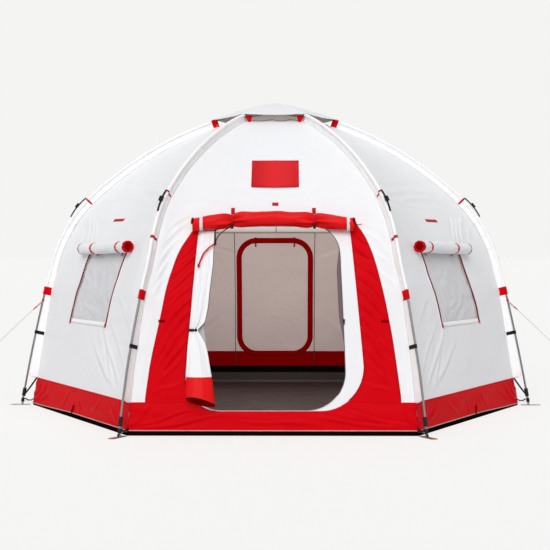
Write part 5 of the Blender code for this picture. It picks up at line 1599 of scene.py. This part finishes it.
# Lines of the small parts at each foot: (outwards, up)
HOOK_LINE = ((2.474, 0.060), (2.450, 0.044), (2.425, 0.040), (2.400, 0.046), (2.384, 0.058))
LINK_LINE = ((2.387, 0.030), (2.400, 0.034), (2.417, 0.0425), (2.430, 0.043), (2.452, 0.037), (2.478, 0.038))
TIP_LINE = ((2.6190, 0.0008), (2.6185, 0.0030), (2.605, 0.0050), (2.585, 0.0052), (2.560, 0.0046))
for rib, angle in RIBS.items():
    at_front = rib.startswith("front")
    tab_low = 1.126 if at_front else 1.098
    rib_wrap(
        f"sleeve_tab_low_{rib}", rib, tab_low, tab_low + 0.079, TAB_RADIUS, 0.064, "red_fabric", red_cloth,
    )
    if at_front:
        rib_wrap(f"sleeve_band_{rib}", rib, 1.650, 1.676, TAB_RADIUS, 0.064, "red_fabric", label_red)
    else:
        rib_wrap(f"sleeve_tab_high_{rib}", rib, 3.592, 3.652, TAB_RADIUS, 0.066, "red_fabric", red_cloth)
    rib_wrap(f"shoulder_tie_{rib}", rib, 2.128, 2.146, TAB_RADIUS, 0.060, "red_fabric", red_webbing)
    tape_low, tape_deep = (0.715, 0.088) if at_front else (0.700, 0.084)
    rib_wrap(
        f"pole_tape_{rib}", rib, tape_low, tape_low + 0.033, TUBE_RADIUS + 0.0030, tape_deep, "black_plastic",
        black_webbing, 0.0040, 0.0018,
    )
    strap = beside_bow(((1.905, 0.0185), (1.95, 0.024), (2.03, 0.027), (2.09, 0.024), (2.140, 0.0195)))
    plane_tape(
        f"shoulder_strap_{rib}", angle, strap, 0.016, "black_plastic", black_webbing,
        0.0050 if at_front else 0.0110,
    )
    for part, low, high, width, aside in (
        ("top", 2.046, 2.054, 0.034, 0.0),
        ("middle", 2.026, 2.034, 0.034, 0.0),
        ("low", 2.006, 2.014, 0.034, 0.0),
        ("left", 2.006, 2.054, 0.006, -0.015),
        ("right", 2.006, 2.054, 0.006, 0.015),
    ):
        line = beside_bow(((low, 0.0265), (high, 0.0265)), 4)
        plane_tape(
            f"buckle_{part}_{rib}", angle, line, width, "black_plastic", black_nylon,
            0.0140 if at_front else 0.0230, aside,
        )
    corner = (float(RIDGE[0, 0] + slope * 0.262) + 0.004, 0.262)
    foot = tuple(float(v) for v in leg_point(0.088)[:2] + np.array([-0.018, 0.0]))
    share = np.linspace(0, 1, 14)[:, None]
    line = np.array(foot) * (1 - share) + np.array(corner) * share
    line[:, 1] -= 0.004 * np.sin(math.pi * share[:, 0])
    if not at_front:
        plane_tape(f"corner_strap_{rib}", angle, line, 0.016, "black_plastic", black_webbing, 0.0150)
    plane_tape(f"corner_hook_{rib}", angle, HOOK_LINE, 0.022, "black_plastic", black_nylon, 0.0090)
    plane_tape(f"foot_link_{rib}", angle, LINK_LINE, 0.016, "plate_steel", link_steel, 0.002)
    plane_tape(
        f"plate_tip_{rib}", angle, TIP_LINE, 0.044 if at_front else 0.030,
        "red_plastic" if at_front else "plate_steel",
        orange_rubber if at_front else link_steel, 0.0026, body=f"plate_{rib}",
    )

guy_run = guy_points[1] - guy_points[0]
guy_run = guy_run / np.linalg.norm(guy_run)
guy_square = np.array([-guy_run[1], guy_run[0]])
for side, rib in (("left", "mid_left"), ("right", "mid_right")):
    for word, gap in (("top", 0.0036), ("low", -0.0066)):
        loop = [guy_points[0] + guy_run * step + guy_square * gap for step in np.linspace(-0.004, 0.074, 6)]
        plane_tape(f"guy_loop_{side}_{word}", RIBS[rib], loop, 0.011, "red_fabric", red_webbing, 0.003)
    rib_wrap(
        f"guy_collar_{side}", rib, 1.028, 1.046, TUBE_RADIUS + 0.0026, 0.0116, "red_fabric", label_red,
        0.0030, 0.002,
    )

# Vent cap and vent netting
# A white hexagonal cap lies over the crown where the bows cross. It overhangs a gap closed
# with netting, through which the tent breathes.
CAP_OVERHANG = 0.028
CAP_PEAK = 0.014
CAP_SEAT = 0.0163 + 0.0006
crown_arc = BOW_ARC[-1]


def cap_rows(lift, count, start):
    """Ridge line of the cap or the netting: radius and height at steps towards the crown."""
    arc = np.linspace(start, crown_arc, count)
    middle, lean = bow_at(np.maximum(arc, rim_arc))
    before = np.minimum(arc - rim_arc, 0.0)
    run = np.stack([-np.sin(lean), np.cos(lean)], axis=-1)
    out = leaning(lean)
    line = middle + run * before[:, None] + out * lift
    line[:, 0] = np.maximum(line[:, 0] * (crown_arc - arc) / (crown_arc - arc + 1e-4), 0.0)
    return line


def hex_sheet(name, line, sag, seed):
    """Six-sided sheet over a ridge line, sagging a little between its ribs."""
    parts = []
    across = np.linspace(-1, 1, 25)
    travel = travelled(line)
    for side, angle in SIDES.items():
        radius, height = line[:, :1], line[:, 1:]
        reach = radius * COS30
        drop = sag * (1 - across**2) * np.minimum(radius / line[0, 0] * 1.4, 1.0)
        drop = drop - 0.002 * ripple(across * radius, height * 3, 0.12, seed + SEEDS[side]) * (1 - across**2)
        points = turned_to(angle, reach - drop * 0.25, across * reach * TAN30, height - drop)
        chart = chart_of(across * reach * TAN30, travel[:, None])
        parts.append(grid_mesh("part", points, chart))
    return joined(name, parts)


cap_line = cap_rows(CAP_SEAT + 0.003, 46, rim_arc - CAP_OVERHANG)
cap_line[:, 1] += CAP_PEAK * np.clip(1 - cap_line[:, 0] / BOW[RIM, 0], 0.0, 1.0)
cap_mesh = hex_sheet("vent_cap_cloth", cap_line, 0.010, 400)
cap = thicken(add_piece("vent_cap_cloth", cap_mesh, "white_canopy", white_cloth, lining), inner=1)
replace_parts(cap, "vent_cap")
net_line = cap_rows(-RIDGE_DEPTH + 0.0015, 40, rim_arc + 0.001)
vent_netting = cloth_finish("vent_netting", (0.80, 0.75, 0.71), 0.9, thread=0.003, blotch=0.08)
# The netting glows a little: painted light, as if daylight came through the gap under the cap.
VENT_PAINTED_GLOW = 0.22
vent_shader = vent_netting.node_tree.nodes["Principled BSDF"]
vent_shader.inputs["Emission Color"].default_value = (0.80, 0.74, 0.70, 1.0)
vent_shader.inputs["Emission Strength"].default_value = VENT_PAINTED_GLOW
vent_mesh = hex_sheet("vent_net_cloth", net_line, 0.004, 500)
vent = thicken(add_piece("vent_net_cloth", vent_mesh, "mesh_fabric", vent_netting), 0.0008)
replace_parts(vent, "vent_mesh")
for word, sign in (("left", -1), ("right", 1)):
    rise = np.linspace(0.0, 1.0, 7)[:, None]
    inner, outer = 0.80 - 0.05 * rise, 0.90 + 0.10 * rise
    across = sign * (inner + (outer - inner) * np.linspace(0, 1, 6)[::sign])
    radius, height = net_line[0]
    points = turned_to(
        SIDES["front"], radius * COS30 + 0.012 - 0.006 * rise, across * radius * COS30 * TAN30,
        height - 0.004 + 0.062 * rise
    )
    chart = chart_of(across * 0.2, rise * 0.06)
    tab = add_piece(f"vent_tab_{word}", grid_mesh(f"vent_tab_{word}", points, chart), "red_fabric", red_cloth)
    thicken(tab, 0.0016)
# Black cords wind over the netting of the three front gaps: painted shadow lines on it.
vent_shadow_lines = []
for side in ("front", "front_left", "front_right"):
    for start, end, beats in ((-0.85, -0.05, 2.2), (0.0, 0.85, 2.7)):
        across = np.linspace(start, end, 22)
        row = 2.2 + 1.8 * np.sin(across * beats * math.pi + beats)
        radius, height = (np.interp(row, np.arange(len(net_line)), net_line[:, k]) for k in (0, 1))
        vent_shadow_lines.append(
            turned_to(SIDES[side], radius * COS30 + 0.002, across * radius * COS30 * TAN30, height + 0.004)
        )
add_piece("vent_shadow_cords", line_curve("vent_shadow_cords", 0.0024, *vent_shadow_lines), "black_plastic", black_webbing)

# Stitched panels and small labels
# A plain red panel is stitched on above the door, and small plain labels sit on the front and
# on both front sides.
sewn_strip(
    "stitched_panel", "front", ((0.012, 2.075), (0.012, 2.330)), 0.42, "red_fabric", hem_red, 0.0006, 0.0014,
)
border = ((-0.188, 2.085), (0.212, 2.085), (0.212, 2.320), (-0.188, 2.320))
sewn_strip("panel_stitching", "front", border, 0.003, "red_fabric", dark_red, 0.0021, 0.0006, closed=True)
for name, side, low, high, level, width in (
    ("front", "front", -0.012, 0.042, 1.922, 0.030),
    ("left", "front_left", -0.255, -0.033, 1.806, 0.026),
    ("right", "front_right", 0.045, 0.270, 1.800, 0.026),
):
    sewn_strip(
        f"label_{name}", side, ((low, level), (high, level)), width, "red_fabric", label_red, 0.0006, 0.0008,
    )

# Stitching and zip teeth
# Red thread runs along the band's seam and both edges of the surround, in small lock
# stitches. Each window's zip is a chain of moulded teeth, one every eight millimetres.
STITCH_PITCH = 0.014
TOOTH_PITCH = 0.008


def row_tree(finish):
    """Geometry Nodes tree that sets small blocks at a pitch along the lines of a mesh."""
    tree = bpy.data.node_groups.new(f"row_of_{finish.name}", "GeometryNodeTree")
    tree.is_modifier = True
    tree.interface.new_socket("Geometry", in_out="INPUT", socket_type="NodeSocketGeometry")
    tree.interface.new_socket("Pitch", in_out="INPUT", socket_type="NodeSocketFloat")
    tree.interface.new_socket("Block Size", in_out="INPUT", socket_type="NodeSocketVector")
    tree.interface.new_socket("Geometry", in_out="OUTPUT", socket_type="NodeSocketGeometry")
    made = {
        name: tree.nodes.new(kind)
        for name, kind in (
            ("given", "NodeGroupInput"),
            ("line", "GeometryNodeMeshToCurve"),
            ("places", "GeometryNodeCurveToPoints"),
            ("block", "GeometryNodeMeshCube"),
            ("turned", "FunctionNodeAlignRotationToVector"),
            ("set", "GeometryNodeInstanceOnPoints"),
            ("real", "GeometryNodeRealizeInstances"),
            ("finish", "GeometryNodeSetMaterial"),
            ("out", "NodeGroupOutput"),
        )
    }
    made["places"].mode = "LENGTH"
    made["turned"].axis = "X"
    made["finish"].inputs["Material"].default_value = finish
    for start, output, end, entry in (
        ("given", "Geometry", "line", "Mesh"),
        ("line", "Curve", "places", "Curve"),
        ("given", "Pitch", "places", "Length"),
        ("given", "Block Size", "block", "Size"),
        ("places", "Tangent", "turned", "Vector"),
        ("places", "Points", "set", "Points"),
        ("block", "Mesh", "set", "Instance"),
        ("turned", "Rotation", "set", "Rotation"),
        ("set", "Instances", "real", "Geometry"),
        ("real", "Geometry", "finish", "Geometry"),
        ("finish", "Geometry", "out", "Geometry"),
    ):
        tree.links.new(made[start].outputs[output], made[end].inputs[entry])
    return tree


def row_of_blocks(name, lines, finish, slot, pitch, size):
    """Small blocks at a pitch along lines of points, made by a tree and kept as a plain mesh."""
    mesh = bpy.data.meshes.new("rows")
    corners = [tuple(point) for line in lines for point in line]
    joins, first = [], 0
    for line in lines:
        joins += [(first + k, first + k + 1) for k in range(len(line) - 1)]
        first += len(line)
    mesh.from_pydata(corners, joins, [])
    holder = bpy.data.objects.new("rows", mesh)
    bpy.context.scene.collection.objects.link(holder)
    rows = holder.modifiers.new("rows", "NODES")
    rows.node_group = row_tree(finish)
    values = {"Pitch": pitch, "Block Size": size}
    for socket in rows.node_group.interface.items_tree:
        if socket.in_out == "INPUT" and socket.name in values:
            rows[socket.identifier] = values[socket.name]
    ready = holder.evaluated_get(bpy.context.evaluated_depsgraph_get())
    kept = bpy.data.meshes.new_from_object(ready)
    bpy.data.objects.remove(holder)
    return add_piece(name, kept, slot)


red_thread = webbing_finish("red_thread", (0.40, 0.001, 0.005))
zip_plastic = webbing_finish("zip_plastic", (0.16, 0.001, 0.004))
seams = []
for side in SIDES:
    half = SIDE_HALF - 0.03
    for low, high in ((-half, -0.80), (0.80, half)) if side == "front" else ((-half, half),):
        line = np.linspace(low, high, 120)
        lift = BAND_OUT + band_lift(side, line, BAND_TOP - 0.008) + 0.0012
        seams.append(on_gore(side, line, BAND_TOP - 0.008, lift))
for sign, corners in ((-1, SURROUND_LEFT), (1, SURROUND_RIGHT)):
    levels = np.linspace(0.30, 1.70, 160)
    for edge, inset in ((surround_edge(levels, corners), -0.010), (reveal_edge(levels, sign), 0.012)):
        seams.append(on_gore("front", sign * (edge + inset), levels, 0.0052))
row_of_blocks("seam_stitches", seams, red_thread, "red_fabric", STITCH_PITCH, (0.0075, 0.0016, 0.0016))
zips = []
for side, mirror in (("front_left", 1), ("front_right", -1)):
    for column, edge in ((0, -ZIP_EDGE), (1, ZIP_EDGE)):
        levels = np.linspace(0.86, 1.49, 60)
        across = np.interp(levels, *np.array(WINDOW_EDGES)[:, (2, column)].T) + edge
        zips.append(on_gore(side, mirror * across, levels, 0.0040))
row_of_blocks("window_zip_teeth", zips, zip_plastic, "red_fabric", TOOTH_PITCH, (0.0040, 0.0060, 0.0024))

# Zip sliders
# Moulded sliders with a hanging pull run on every zip, black ones on the door's and red ones
# on the windows'. The solids of the CAD stay in view and get their finish.
for side in ("left", "right"):
    dress(f"door_slider_{side}", black_nylon)
for side in ("front_left", "front_right"):
    for edge in ("rear", "front"):
        dress(f"window_slider_{side}_{edge}", red_nylon)

# Bend of the front bows
# The pitched bows beside the door lean a little towards it between the knee and the shoulder,
# and take their sleeves, straps and the canopy's edges along.
BOW_BENDS = {
    "front_left": (
        (0.30, 0.0), (0.55, 0.005), (0.85, 0.021), (1.20, 0.045), (1.40, 0.066), (1.52, 0.068),
        (1.75, 0.047), (1.98, 0.023), (2.20, 0.008), (2.40, 0.0),
    ),
    "front_right": (
        (0.30, 0.0), (0.55, -0.003), (0.85, -0.016), (1.20, -0.028), (1.40, -0.047), (1.52, -0.048),
        (1.75, -0.030), (1.98, -0.014), (2.20, -0.004), (2.40, 0.0),
    ),
}
BEND_REACH = 0.17
for rib, bends in BOW_BENDS.items():
    levels, shifts = np.array(bends).T
    outwards = np.array(turned_to(RIBS[rib], 1.0, 0.0, 0.0))[:2]
    sideways = np.array(turned_to(RIBS[rib], 0.0, 1.0, 0.0))[:2]
    for piece in pieces:
        if piece.type != "MESH":
            continue
        places = np.empty(len(piece.data.vertices) * 3)
        piece.data.vertices.foreach_get("co", places)
        places = places.reshape(-1, 3)
        near = smooth(1 - np.abs(places[:, :2] @ sideways) / BEND_REACH) * (places[:, :2] @ outwards > 0.8)
        if not near.any():
            continue
        places[:, :2] += (near * np.interp(places[:, 2], levels, shifts))[:, None] * sideways
        piece.data.vertices.foreach_set("co", places.ravel())
        piece.data.update()

# Light that comes through the cloth
# Daylight through the canopy is a soft warm glow inside. One large lamp that the camera
# doesn't see stands for it.


def add_glow(name, place, towards, size, power):
    """Large soft lamp inside the tent that the camera doesn't see."""
    lamp = bpy.data.lights.new(name, "AREA")
    lamp.shape = "DISK"
    lamp.size = size
    lamp.energy = power
    lamp.color = (1.0, 0.96, 0.93)
    made = bpy.data.objects.new(name, lamp)
    made.location = place
    made.rotation_euler = (-Vector(towards)).to_track_quat("Z", "Y").to_euler()
    made.visible_camera = False
    bpy.context.scene.collection.objects.link(made)


add_glow("glow_to_rear", (0.0, -0.9, 1.35), (0.0, 1.0, 0.0), 1.6, 45.0)
